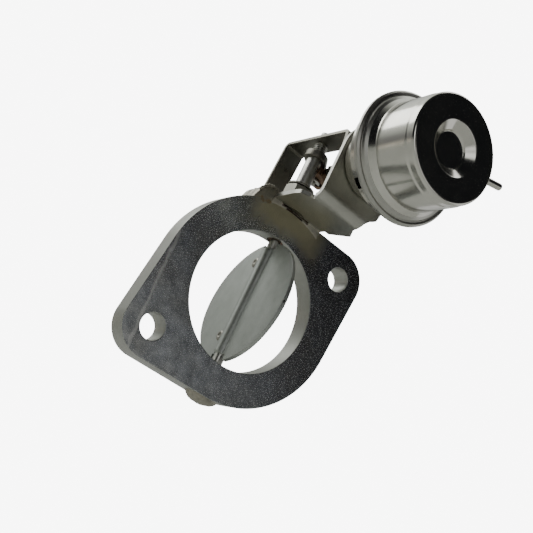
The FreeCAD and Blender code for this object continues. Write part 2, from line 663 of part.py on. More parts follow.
def make_rear_shell():
    body = turned("shell_drawing", "XY_Plane", [
        ("guide_dia / 2", "plate_front"), ("pad_rad", "plate_front"),
        ("pad_rad + shell_draft", "step_y"), ("shell_rad - shell_corner", "step_y"),
        ("shell_rad", "wall_y"), ("shell_rad", "shell_flange"), ("rim_inside", "shell_flange"),
        ("rim_inside", "shell_flange - can_sheet"), ("shell_inside", "shell_flange - can_sheet"),
        ("shell_inside", "wall_y - can_sheet / 2"),
        ("shell_rad - shell_corner - can_sheet / 2", "step_y - can_sheet"),
        ("pad_rad + shell_draft - can_sheet", "step_y - can_sheet"),
        ("pad_rad - can_sheet", "plate_front - can_sheet"), ("guide_dia / 2", "plate_front - can_sheet")])
    window = sketch_on(body, "vent_outline", "XY_Plane")
    outline(window, [
        ("-vent_width / 2", "-vent_reach - vent_len / 2"), ("vent_width / 2", "-vent_reach - vent_len / 2"),
        ("vent_width / 2", "-vent_reach + vent_len / 2"), ("-vent_width / 2", "-vent_reach + vent_len / 2")])
    doc.recompute()
    vent = body.newObject("PartDesign::Pocket", "vent_window")
    vent.Profile = window
    vent.Reversed = True
    bind(vent, Length="rim_out")
    doc.recompute()
    windows = body.newObject("PartDesign::PolarPattern", "vent_windows")
    windows.Originals = [vent]
    windows.Axis = ([item for item in body.Origin.OriginFeatures if item.Role == "Y_Axis"][0], [""])
    windows.Angle = 360
    windows.setExpression("Occurrences", formula("vent_count"))
    body.Tip = windows
    place(body, ROD)
    body.Placement.Rotation = Rotation(Vector(0, 1, 0), number("90 - vent_turn"))
    holes = [cylinder(side + "_shell_hole", "stud_dia / 2", "can_sheet",
                      ("rod_x", "plate_front - can_sheet", "rod_rise %s stud_spread" % sign), "back")
             for side, sign in (("upper", "+"), ("lower", "-"))]
    return cut("rear_shell", body, holes)


def make_front_can():
    drawn = turned("can_drawing", "XY_Plane", [
        ("0", "can_face + dish_depth"), ("dish_floor_rad", "can_face + dish_depth"), ("dish_rad", "can_face"),
        ("can_rad - can_corner", "can_face"), ("can_rad", "can_face + can_corner"),
        ("can_rad", "rim_face - root_rise"), ("bead_rad", "rim_face - bead_rise"),
        ("bead_rad + bead_rise", "rim_face"), ("rim_out - can_sheet", "rim_face"),
        ("rim_out", "rim_face + can_sheet"), ("rim_out", "-rim_back - curl_bevel"),
        ("rim_out - curl_bevel", "-rim_back"), ("curl_in", "-rim_back"),
        ("curl_in", "shell_flange"), ("rim_inside", "shell_flange"), ("rim_inside", "rim_floor"),
        ("bead_rad", "rim_floor"), ("bead_rad - can_sheet", "rim_floor - bead_rise"),
        ("can_inside", "rim_face - root_rise + can_sheet"), ("can_inside", "can_floor + can_corner"),
        ("can_inside - can_corner", "can_floor"), ("dish_rad + can_sheet", "can_floor"),
        ("dish_floor_rad + can_sheet", "can_floor + dish_depth"), ("0", "can_floor + dish_depth")])
    place(drawn, ROD)
    hole = cylinder("nipple_hole", "nipple_dia / 2", "rim_out", ("rod_x", "-nipple_at", "rod_rise"))
    hole.Placement.Rotation = Rotation(Vector(0, 1, 0), number("90 - nipple_turn"))
    return cut("front_can", drawn, [hole])


def make_vacuum_nipple():
    body = turned("vacuum_nipple", "XZ_Plane", [
        ("nipple_bore / 2", "can_inside"), ("nipple_dia / 2", "can_inside"), ("nipple_dia / 2", "can_rad"),
        ("collar_dia / 2", "can_rad"), ("collar_dia / 2", "can_rad + collar_len"),
        ("nipple_dia / 2", "can_rad + collar_len"), ("nipple_dia / 2", "nipple_reach - can_sheet"),
        ("nipple_bore / 2", "nipple_reach")])
    place(body, ("rod_x", "-nipple_at", "rod_rise"))
    body.Placement.Rotation = Rotation(Vector(0, 1, 0), number("90 - nipple_turn"))
    return body


def at_studs(name, make):
    """The same piece on the upper and the lower stud."""
    return group(name, [make(name + "_" + side, "rod_rise %s stud_spread" % sign)
                        for side, sign in (("upper", "+"), ("lower", "-"))])


def make_mounting_studs():
    def stud(name, height):
        return fuse(name, [
            cylinder(name + "_shank", "stud_dia / 2", "stud_tip - plate_front + can_sheet",
                     ("rod_x", "plate_front - can_sheet", height), "back"),
            cylinder(name + "_head", "stud_head_dia / 2", "stud_head",
                     ("rod_x", "plate_front - can_sheet - stud_head", height), "back")])
    return at_studs("mounting_studs", stud)


def make_spring_washers():
    def washer(name, height):
        return ring(name, "lock_washer_dia / 2", "stud_dia / 2 + sheet_gap", "lock_washer",
                    ("rod_x", "plate_back", height), "back")
    return at_studs("spring_washers", washer)


def make_mounting_nuts():
    def nut(name, height):
        at = ("rod_x", "washer_y", height)
        return cut(name, hexagon(name + "_hexagon", "stud_nut_flats", "stud_nut_len", at, "back"),
                   [cylinder(name + "_thread", "stud_dia / 2", "stud_nut_len", at, "back")])
    return at_studs("mounting_nuts", nut)


def make_rod_guide():
    return ring("rod_guide", "guide_dia / 2", "rod_hole", "guide_in + foot_sheet + guide_out",
                on_rod("plate_front - guide_in"), "back")


def make_diaphragm():
    body = turned("diaphragm", "XY_Plane", [
        ("rod_rad", "cup_back"), ("roll_in + rubber", "cup_back"),
        ("roll_in + rubber", "cup_back + roll_rise"), ("roll_out - rubber", "cup_back + roll_rise"),
        ("roll_out - rubber", "cup_back"), ("rim_bead_in", "rim_floor"), ("rim_inside", "rim_floor"),
        ("rim_inside", "shell_flange - can_sheet"), ("rim_bead_in", "shell_flange - can_sheet"),
        ("roll_out", "cup_back + rubber"), ("roll_out", "cup_back + roll_rise + rubber"),
        ("roll_in", "cup_back + roll_rise + rubber"), ("roll_in", "rubber_back"), ("rod_rad", "rubber_back")])
    return place(body, ROD)


def make_return_spring():
    return coil("return_spring", "XY_Plane", "return_rad", "return_wire", "return_turns",
                "can_floor + seat_gap + return_wire / 2",
                "cup_front - can_floor - 2 * seat_gap - return_wire", ROD)


def make_piston_cup():
    body = turned("piston_cup", "XY_Plane", [
        ("rod_rad", "cup_back"), ("cup_rad", "cup_back"), ("cup_rad", "cup_back - cup_depth"),
        ("cup_rad - cup_sheet", "cup_back - cup_depth"), ("cup_rad - cup_sheet", "cup_front"),
        ("rod_rad", "cup_front")])
    return place(body, ROD)


def make_backing_plate():
    return ring("backing_plate", "backing_rad", "rod_rad", "backing_thick", on_rod("rubber_back"), "back")


def make_piston_nut():
    at = on_rod("cup_front")
    return cut("piston_nut", hexagon("piston_nut_hexagon", "piston_nut_flats", "piston_nut_len", at, "forward"),
               [cylinder("piston_nut_thread", "rod_rad", "piston_nut_len", at, "forward")])


# Rod and rod end

def make_actuator_rod():
    return fuse("actuator_rod", [
        cylinder("rod_bar", "rod_rad", "eye_front - thread_short - rod_tip", on_rod("rod_tip"), "back"),
        cylinder("rod_collar_ring", "rod_collar_dia / 2", "rod_collar",
                 on_rod("rubber_back + backing_thick"), "back")])


def make_rod_end():
    eye = padded("rod_end_eye", "XY_Plane", "rod_end_low", "rod_end_thick", [
        ("rod_x - eye_across / 2", "eye_front"), ("rod_x + eye_across / 2", "eye_front"),
        ("rod_x + eye_across / 2", "pin_y + eye_along / 2"),
        ("rod_x - eye_across / 2", "pin_y + eye_along / 2")])
    rounded(eye, "rod_end_round", lambda edge: runs_along(edge, Vector(0, 0, 1)))
    shank = cylinder("rod_end_shank", "shank_dia / 2", "shank_len", on_rod("shank_front"), "back")
    slot_half = "(slot_across - slot_along) / 2"
    slot = [box("slot_middle", ("rod_x - " + slot_half, "pin_y - slot_along / 2", "rod_end_low"),
                ("rod_x + " + slot_half, "pin_y + slot_along / 2", "rod_end_top"))]
    for side, sign in (("near", "-"), ("far", "+")):
        slot.append(cylinder(side + "_slot_end", "slot_along / 2", "rod_end_thick",
                             ("rod_x %s %s" % (sign, slot_half), "pin_y", "rod_end_low")))
    thread = cylinder("rod_end_thread", "rod_rad", "shank_len - thread_short", on_rod("shank_front"), "back")
    return cut("rod_end", fuse("rod_end_forging", [eye, shank]), slot + [thread])


def make_lock_nut():
    at = on_rod("shank_front")
    return cut("lock_nut", hexagon("lock_nut_hexagon", "lock_nut_flats", "lock_nut_len", at, "forward"),
               [cylinder("lock_nut_thread", "rod_rad", "lock_nut_len", at, "forward")])


# Shaft, flap and lever

def hub_pin_tool(name):
    """The spring pin's cylinder, along Y, as long as the hub is wide."""
    return cylinder(name, "hub_pin_dia / 2", "hub_dia", ("0", "-hub_rad", "hub_pin_rise"), "back")


def turned_to_lever(item):
    """Turn a piece about the shaft from +X to where the lever points."""
    item.Placement = FreeCAD.Placement(Vector(), Rotation(Vector(0, 0, 1), number("lever_turn")))
    return item


def clip_gap(name, radius, low, at):
    """The groove that a clip sits in."""
    spot = (at[0], at[1], low)
    return cut(name, cylinder(name + "_over", radius + " + clip_groove", "clip_thick", spot),
               [cylinder(name + "_core", radius + " - clip_groove", "clip_thick", spot)])


def clip(name, radius, low, at):
    """A pressed retaining clip, open on its +X side."""
    spot = (at[0], at[1], low)
    mouth = box(name + "_mouth", (at[0], at[1] + " - clip_mouth / 2", low),
                (at[0] + " + clip_dia", at[1] + " + clip_mouth / 2", low + " + clip_thick"))
    return cut(name, cylinder(name + "_disc", "clip_dia / 2", "clip_thick", spot),
               [cylinder(name + "_core_hole", radius + " - clip_groove", "clip_thick", spot), mouth])


def make_shaft():
    bar = cylinder("shaft_bar", "shaft_rad", "shaft_top + shaft_low", ("0", "0", "-shaft_low"))
    pin_hole = turned_to_lever(group("shaft_pin_hole", [hub_pin_tool("shaft_pin_hole_bar")]))
    return cut("shaft", bar, [clip_gap("shaft_groove", "shaft_rad", "clip_low", ("0", "0")), pin_hole])


def make_flap_plate(name, face_side):
    """One stamped plate of the flap, with half of the channel that clasps the shaft."""
    low, high = ("-flap_sheet", "0") if face_side < 0 else ("0", "flap_sheet")
    disc = cylinder(name + "_disc", "flap_rad", "flap_sheet", (low, "0", "0"), "right")
    channel = cylinder(name + "_channel", "channel_rad", "2 * channel_end", ("0", "0", "-channel_end"))
    edge = ("0", "channel_rad") if face_side < 0 else ("-channel_rad", "0")
    other_side = box(name + "_other_side", (edge[0], "-channel_rad", "-channel_end"),
                     (edge[1], "channel_rad", "channel_end"))
    sheet = fuse(name + "_sheet", [disc, cut(name + "_half_channel", channel, [other_side])])
    tools = [cylinder(name + "_shaft_way", "shaft_rad", "2 * flap_rad", ("0", "0", "-flap_rad")),
             box(name + "_upper_notch", (low, "-notch_half", "channel_end"), (high, "notch_half", "flap_rad")),
             box(name + "_lower_notch", (low, "-notch_half", "-flap_rad"), (high, "notch_half", "-channel_end"))]
    for side, height in (("upper", "rivet_upper"), ("lower", "-rivet_lower")):
        tools.append(cylinder(name + "_%s_rivet_hole" % side, "rivet_dia / 2", "flap_sheet",
                              (low, "rivet_offset", height), "right"))
    return cut(name, sheet, tools)


def make_flap_rivets():
    rivets = []
    for side, height in (("upper", "rivet_upper"), ("lower", "-rivet_lower")):
        name = side + "_rivet"
        shank = cylinder(name + "_shank", "rivet_dia / 2", "2 * flap_sheet",
                         ("-flap_sheet", "rivet_offset", height), "right")
        heads = [cylinder(name + "_front_head", "rivet_head_dia / 2", "rivet_head",
                          ("-flap_sheet - rivet_head", "rivet_offset", height), "right"),
                 cylinder(name + "_rear_head", "rivet_head_dia / 2", "rivet_head",
                          ("flap_sheet", "rivet_offset", height), "right")]
        rivets.append(fuse(name, [shank] + heads))
    return group("flap_rivets", rivets)


def make_thrust_washer():
    return ring("thrust_washer", "washer_dia / 2", "shaft_rad", "washer_thick", ("0", "0", "washer_low"), "up")


def make_spacer_sleeve():
    return ring("spacer_sleeve", "sleeve_dia / 2", "shaft_rad", "sleeve_len", ("0", "0", "sleeve_low"), "up")


def make_lever():
    web = padded("lever_web", "XY_Plane", "hub_low", "lever_thick", [
        ("hub_rad * arm_sin", "hub_rad * arm_cos"), ("hub_rad * arm_sin", "-hub_rad * arm_cos"),
        ("lever_rad + lever_tip * arm_sin", "-lever_tip * arm_cos"),
        ("lever_rad + lever_tip * arm_sin", "lever_tip * arm_cos")])
    solid = fuse("lever_forging", [
        web, cylinder("lever_hub", "hub_rad", "hub_len", ("0", "0", "hub_low")),
        cylinder("lever_end", "lever_tip", "lever_thick", ("lever_rad", "0", "hub_low"))])
    return turned_to_lever(cut("lever", solid, [
        cylinder("lever_bore", "shaft_rad", "hub_len", ("0", "0", "hub_low")),
        cylinder("lever_pin_hole", "pin_dia / 2", "lever_thick", ("lever_rad", "0", "hub_low")),
        hub_pin_tool("lever_cross_hole")]))


def make_lever_pin():
    pin = fuse("lever_pin_blank", [
        cylinder("lever_pin_shank", "pin_dia / 2", "arm_top - pin_low", ("pin_x", "pin_y", "pin_low")),
        cylinder("lever_pin_head", "pin_head_dia / 2", "pin_head", ("pin_x", "pin_y", "arm_top"))])
    return cut("lever_pin", pin, [clip_gap("pin_groove", "pin_dia / 2", "pin_clip_low", ("pin_x", "pin_y"))])


def make_pin_clip():
    return clip("pin_clip", "pin_dia / 2", "pin_clip_low", ("pin_x", "pin_y"))


def make_shaft_clip():
    return clip("shaft_clip", "shaft_rad", "clip_low", ("0", "0"))


def make_hub_pin():
    return turned_to_lever(group("hub_pin", [hub_pin_tool("hub_pin_bar")]))


def make_shaft_spring():
    return coil("shaft_spring", "XZ_Plane", "shaft_rad + coil_slack + coil_wire / 2", "coil_wire", "coil_turns",
                "hub_top + seat_gap + coil_wire / 2", "coil_room - 2 * seat_gap - coil_wire", ORIGIN)


NODES = [
    make_flange_plate(), make_upper_bush(), make_lower_bush(), make_end_plug(), make_gland_body(),
    make_gland_packing(), make_gland_nut(), make_mount_bracket(), make_bridge_strap(),
    make_bracket_welds(), make_rear_shell(), make_front_can(), make_vacuum_nipple(),
    make_mounting_studs(), make_spring_washers(), make_mounting_nuts(), make_rod_guide(),
    make_diaphragm(), make_return_spring(), make_piston_cup(), make_backing_plate(), make_piston_nut(),
    make_actuator_rod(), make_rod_end(), make_lock_nut(), make_shaft(),
    make_flap_plate("flap_front_plate", -1), make_flap_plate("flap_rear_plate", 1), make_flap_rivets(),
    make_thrust_washer(), make_spacer_sleeve(), make_lever(), make_lever_pin(), make_pin_clip(),
    make_shaft_clip(), make_hub_pin(), make_shaft_spring(),
]

doc.recompute()
failed = [item.Name for item in doc.Objects if "Invalid" in item.State or "Error" in item.State]
failed += [node.Name for node in NODES if node.Shape.isNull() or not node.Shape.isValid()]
if failed:
    raise RuntimeError("these objects failed: " + ", ".join(failed))

os.makedirs("parts", exist_ok=True)
for node in NODES:
    solids = node.Shape.Solids
    print("%-18s %2d solids %10.1f mm3" % (node.Label, len(solids), sum(solid.Volume for solid in solids)))
    node.Shape.exportStep("parts/%s.step" % node.Label)
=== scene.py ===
"""An exhaust flap valve of stainless steel, on a pale studio sweep.

Lengths are in millimetres unless a name ends in _m; the scene itself is in metres.
The row frame has Y along the gas bore, Z up the flap's shaft and the bore's centre at the origin.
"""

import json
import math

import bmesh
import bpy
from mathutils import Matrix, Vector, noise as perlin

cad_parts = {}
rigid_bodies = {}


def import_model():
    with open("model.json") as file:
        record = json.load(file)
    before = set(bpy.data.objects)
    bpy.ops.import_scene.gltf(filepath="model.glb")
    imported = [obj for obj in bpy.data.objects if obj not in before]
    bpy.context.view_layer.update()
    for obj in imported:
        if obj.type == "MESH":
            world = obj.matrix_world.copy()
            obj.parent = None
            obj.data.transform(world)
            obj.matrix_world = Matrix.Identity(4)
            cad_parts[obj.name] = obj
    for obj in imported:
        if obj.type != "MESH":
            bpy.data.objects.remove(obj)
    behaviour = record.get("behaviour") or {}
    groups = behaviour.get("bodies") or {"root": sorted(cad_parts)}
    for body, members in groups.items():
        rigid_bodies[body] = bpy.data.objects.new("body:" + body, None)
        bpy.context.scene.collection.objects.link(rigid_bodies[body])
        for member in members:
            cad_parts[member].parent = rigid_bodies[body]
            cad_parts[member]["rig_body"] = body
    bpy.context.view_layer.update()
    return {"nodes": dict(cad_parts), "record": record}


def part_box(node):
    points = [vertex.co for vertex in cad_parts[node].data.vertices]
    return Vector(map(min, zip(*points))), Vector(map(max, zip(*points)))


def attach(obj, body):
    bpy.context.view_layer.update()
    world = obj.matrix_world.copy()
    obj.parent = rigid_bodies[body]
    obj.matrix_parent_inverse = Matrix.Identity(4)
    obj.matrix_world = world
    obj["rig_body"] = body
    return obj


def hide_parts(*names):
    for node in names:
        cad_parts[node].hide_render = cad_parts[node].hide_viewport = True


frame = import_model()
nodes = frame["nodes"]

MM = 0.001
MERGE = 1e-4


# Sizes read from the frame

def low(node, axis):
    """The node's lowest coordinate along an axis, in millimetres."""
    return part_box(node)[0]["xyz".index(axis)] / MM


def high(node, axis):
    """The node's highest coordinate along an axis, in millimetres."""
    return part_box(node)[1]["xyz".index(axis)] / MM


# Making meshes

def loose_object(name, bm):
    """Turn a bmesh in millimetres into an object in metres."""
    bmesh.ops.scale(bm, vec=(MM, MM, MM), verts=bm.verts)
    mesh = bpy.data.meshes.new(name)
    bm.to_mesh(mesh)
    bm.free()
    made = bpy.data.objects.new(name, mesh)
    bpy.context.scene.collection.objects.link(made)
    return made


def finish_mesh(name, bm, materials, node, smooth_deg):
    """Turn a bmesh into a finished piece that stands for a node and rides on its body."""
    bmesh.ops.remove_doubles(bm, verts=bm.verts, dist=MERGE)
    bmesh.ops.recalc_face_normals(bm, faces=bm.faces)
    piece = loose_object(name, bm)
    for material in materials:
        piece.data.materials.append(material)
    piece.data.shade_smooth()
    piece.data.set_sharp_from_angle(angle=math.radians(smooth_deg))
    even_shading(piece)
    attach(piece, nodes[node]["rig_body"])
    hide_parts(node)
    return piece


def even_shading(piece):
    """Let the large faces keep their flat shading where they meet rounded edges."""
    evened = piece.modifiers.new("even_shading", "WEIGHTED_NORMAL")
    evened.keep_sharp = True


def soften(bm, width, segments=2, angle_deg=50.0):
    """Bevel the edges sharper than an angle, as tumbling or machining leaves them."""
    limit = math.radians(angle_deg)
    edges = [edge for edge in bm.edges if len(edge.link_faces) == 2 and edge.calc_face_angle(0.0) > limit]
    bmesh.ops.bevel(bm, geom=edges, offset=width, offset_type="OFFSET", segments=segments,
                    profile=0.5, affect="EDGES", clamp_overlap=True, material=-1)


def wire(bm, points):
    """A closed chain of edges through the points; returns its vertices and edges."""
    verts = [bm.verts.new(point) for point in points]
    edges = [bm.edges.new(pair) for pair in zip(verts, verts[1:] + verts[:1])]
    return verts, edges


# Across and along each axis that something is turned about
TURNING = {
    "X": (Vector((0, 0, 1)), Vector((1, 0, 0))),
    "Y": (Vector((1, 0, 0)), Vector((0, 1, 0))),
}


def lathe(bm, section, axis, centre, steps):
    """Spin a closed section of (radius, along) points about an axis through a centre."""
    across, along = TURNING[axis]
    start = Vector(centre)
    points = [start + across * radius + along * place for radius, place in section]
    verts, edges = wire(bm, points)
    bmesh.ops.spin(bm, geom=verts + edges, cent=start, axis=along, dvec=(0, 0, 0), angle=math.tau,
                   steps=steps, use_merge=True, use_duplicate=False)
    bmesh.ops.remove_doubles(bm, verts=bm.verts, dist=MERGE)
    bmesh.ops.dissolve_degenerate(bm, dist=MERGE / 10, edges=bm.edges)
    bmesh.ops.recalc_face_normals(bm, faces=bm.faces)
    return bm


def round_corners(corners, steps):
    """An outline from its corners; the third number of a corner, where it has one, rounds it."""
    spots = [Vector(corner[:2]) for corner in corners]
    out = []
    for index, here in enumerate(spots):
        if len(corners[index]) < 3:
            out.append(here)
            continue
        radius = corners[index][2]
        before = spots[index - 1] - here
        after = spots[(index + 1) % len(spots)] - here
        half = before.angle(after) / 2
        reach = radius / math.tan(half)
        centre = here + (before.normalized() + after.normalized()).normalized() * (radius / math.sin(half))
        first = here + before.normalized() * reach - centre
        last = here + after.normalized() * reach - centre
        turn = first.angle(last)
        for step in range(steps + 1):
            part = step / steps
            spoke = first * math.sin((1 - part) * turn) + last * math.sin(part * turn)
            out.append(centre + spoke / math.sin(turn))
    return out


def circle_points(centre, radius, steps, start=0.0, sweep=math.tau):
    """Points on a circle or an arc; a full circle leaves its last point out."""
    count = steps if sweep == math.tau else steps + 1
    angles = [start + sweep * index / steps for index in range(count)]
    return [Vector((centre[0] + radius * math.cos(angle), centre[1] + radius * math.sin(angle)))
            for angle in angles]


def plate(bm, outer, holes, thickness, place):
    """A flat plate with holes: outlines in two dimensions, stood by a function that gives 3-D points."""
    edges = []
    for loop in [outer] + holes:
        edges += wire(bm, [place(point, 0.0) for point in loop])[1]
    filled = bmesh.ops.triangle_fill(bm, use_beauty=True, use_dissolve=False, edges=edges)
    faces = [item for item in filled["geom"] if isinstance(item, bmesh.types.BMFace)]
    raised = bmesh.ops.extrude_face_region(bm, geom=faces, use_keep_orig=True)
    verts = [item for item in raised["geom"] if isinstance(item, bmesh.types.BMVert)]
    shift = place(Vector((0, 0)), thickness) - place(Vector((0, 0)), 0.0)
    bmesh.ops.translate(bm, vec=shift, verts=verts)
    bmesh.ops.recalc_face_normals(bm, faces=bm.faces)


def join_rings(bm, rings):
    """Faces between each ring of vertices and the next."""
    for near, far in zip(rings, rings[1:]):
        for spot in range(len(near)):
            ahead = (spot + 1) % len(near)
            bm.faces.new((near[spot], near[ahead], far[ahead], far[spot]))


def closed_sections(bm, sections):
    """Skin a row of closed sections that have equally many points, with both ends closed."""
    rings = [[bm.verts.new(point) for point in section] for section in sections]
    join_rings(bm, rings)
    bm.faces.new(rings[0])
    bm.faces.new(list(reversed(rings[-1])))


def cut_away(piece, cutters, operation="DIFFERENCE"):
    """Take cutter shapes out of a finished piece, or keep only what is in them, and drop the cutters."""
    for cutter in cutters:
        piece.modifiers.clear()
        modifier = piece.modifiers.new("cut", "BOOLEAN")
        modifier.operation = operation
        modifier.solver = "EXACT"
        modifier.object = cutter
        bpy.context.view_layer.update()
        evaluated = piece.evaluated_get(bpy.context.evaluated_depsgraph_get())
        mesh = bpy.data.meshes.new_from_object(evaluated)
        piece.modifiers.clear()
        even_shading(piece)
        old = piece.data
        piece.data = mesh
        bpy.data.meshes.remove(old)
    for cutter in cutters:
        mesh = cutter.data
        bpy.data.objects.remove(cutter)
        bpy.data.meshes.remove(mesh)


def rod_cutter(start, end, radius, steps=48):
    """A loose cylinder between two points, for cutting."""
    start, end = Vector(start), Vector(end)
    axis = end - start
    turn = Vector((0, 0, 1)).rotation_difference(axis).to_matrix().to_4x4()
    bm = bmesh.new()
    bmesh.ops.create_cone(bm, cap_ends=True, cap_tris=False, segments=steps, radius1=radius, radius2=radius,
                          depth=axis.length, matrix=Matrix.Translation((start + end) / 2) @ turn)
    return loose_object("rod_cutter", bm)


def block(size):
    """A bmesh of a box about the origin."""
    bm = bmesh.new()
    bmesh.ops.create_cube(bm, size=1.0)
    bmesh.ops.scale(bm, vec=size, verts=bm.verts)
    return bm


# Colours and shader nodes

def colour(code):
    """A linear colour from an sRGB hex value."""
    parts = [int(code[place:place + 2], 16) / 255 for place in (1, 3, 5)]
    linear = [part / 12.92 if part <= 0.04045 else ((part + 0.055) / 1.055) ** 2.4 for part in parts]
    return (*linear, 1.0)


def add(tree, kind, inputs=None, stops=(), **settings):
    """Add a shader node with its settings, its inputs and, on a colour ramp, its stops.

    An input is a value, a hex colour, a socket to link, or a node whose first live output is linked.
    A stop is its place and a hex colour or three linear parts.
    """
    made = tree.nodes.new("ShaderNode" + kind)
    for name, value in settings.items():
        setattr(made, name, value)
    for name, value in (inputs or {}).items():
        if isinstance(value, bpy.types.Node):
            value = next(socket for socket in value.outputs if socket.enabled)
        if isinstance(value, bpy.types.NodeSocket):
            tree.links.new(value, made.inputs[name])
        else:
            made.inputs[name].default_value = colour(value) if isinstance(value, str) else value
    if stops:
        band = made.color_ramp
        while len(band.elements) < len(stops):
            band.elements.new(0.5)
        for element, (place, shade) in zip(band.elements, stops):
            element.position = place
            element.color = colour(shade) if isinstance(shade, str) else (*shade, 1.0)
    return made


def new_material(name):
    """An empty material; returns it, its node tree and a place on the piece in its own metres."""
    material = bpy.data.materials.new(name)
    material.use_nodes = True
    tree = material.node_tree
    tree.nodes.clear()
    return material, tree, add(tree, "TexCoord").outputs["Object"]


def end_in_surface(tree, inputs):
    """End a material in one principled shader."""
    shader = add(tree, "BsdfPrincipled", inputs)
    add(tree, "OutputMaterial", {"Surface": shader})


# Where nearly all of a noise's values lie
NOISE_SPAN = {"From Min": 0.3, "From Max": 0.7}
SOFT_STEP = {"interpolation_type": "SMOOTHSTEP"}


def grain_of(tree, place, size_mm, detail=3.0, rough=0.5, stretch=(1.0, 1.0, 1.0), seed=0.0):
    """Noise whose grain is about size_mm across, stretched along the axes."""
    per_m = 1.0 / (size_mm * MM)
    mapped = add(tree, "Mapping", {"Vector": place, "Location": (seed, seed * 0.7, -seed),
                                   "Scale": tuple(per_m * part for part in stretch)})
    return add(tree, "TexNoise", {"Vector": mapped, "Scale": 1.0, "Detail": detail, "Roughness": rough})


# Materials of this valve

def steel(name, base, dark, rough_low, rough_high, grain_mm=0.5, grain_depth=0.004, stretch=(1, 1, 1),
          cloud_mm=14.0, cloud=0.35, seed=0.0):
    """Stainless steel: clouds of a darker tone, uneven polish and a fine grain in the surface."""
    material, tree, place = new_material(name)
    clouds = grain_of(tree, place, cloud_mm, detail=4.0, seed=seed)
    fine = grain_of(tree, place, grain_mm, detail=3.0, rough=0.6, stretch=stretch, seed=seed + 3.0)
    darker = add(tree, "MapRange", {"Value": clouds, **NOISE_SPAN, "To Min": 0.0, "To Max": cloud})
    toned = add(tree, "Mix", {"Factor": darker, 6: base, 7: dark}, data_type="RGBA")
    half_clouds = add(tree, "Math", {0: clouds, 1: 0.5}, operation="MULTIPLY")
    uneven = add(tree, "Math", {0: fine, 1: 0.5, 2: half_clouds}, operation="MULTIPLY_ADD")
    polish = add(tree, "MapRange", {"Value": uneven, **NOISE_SPAN, "To Min": rough_low, "To Max": rough_high})
    relief = add(tree, "Bump", {"Height": fine, "Distance": grain_depth * MM})
    end_in_surface(tree, {"Base Color": toned, "Metallic": 1.0, "Roughness": polish, "Normal": relief})
    return material


# The flange's zone under the bracket, brushed and painted olive as a reflection of the overhanging foot: the
# heights and half widths that it fades in between, and how far it wanders
BRUSHED_REFLECTION_FROM = 36.0
BRUSHED_REFLECTION_FULL = 45.0
BRUSHED_REFLECTION_HALF = 26.0
BRUSHED_REFLECTION_CORE = 15.0
BRUSHED_REFLECTION_DRIFT = 14.0

# The rubbed line left of the left bolt hole: what it lies across, its distance that way, and its half width
STREAK_ACROSS = (-0.9980, 0.0, -0.0626)
STREAK_AT = 46.56
STREAK_WANDER = 2.6
STREAK_EDGE = 1.1
STREAK_CORE = 0.3
STREAK_START_X = -24.0
STREAK_FULL_X = -29.0

# The noise values that a bright pit starts at and is full at
PITS_FROM = 0.54
PITS_FULL = 0.70


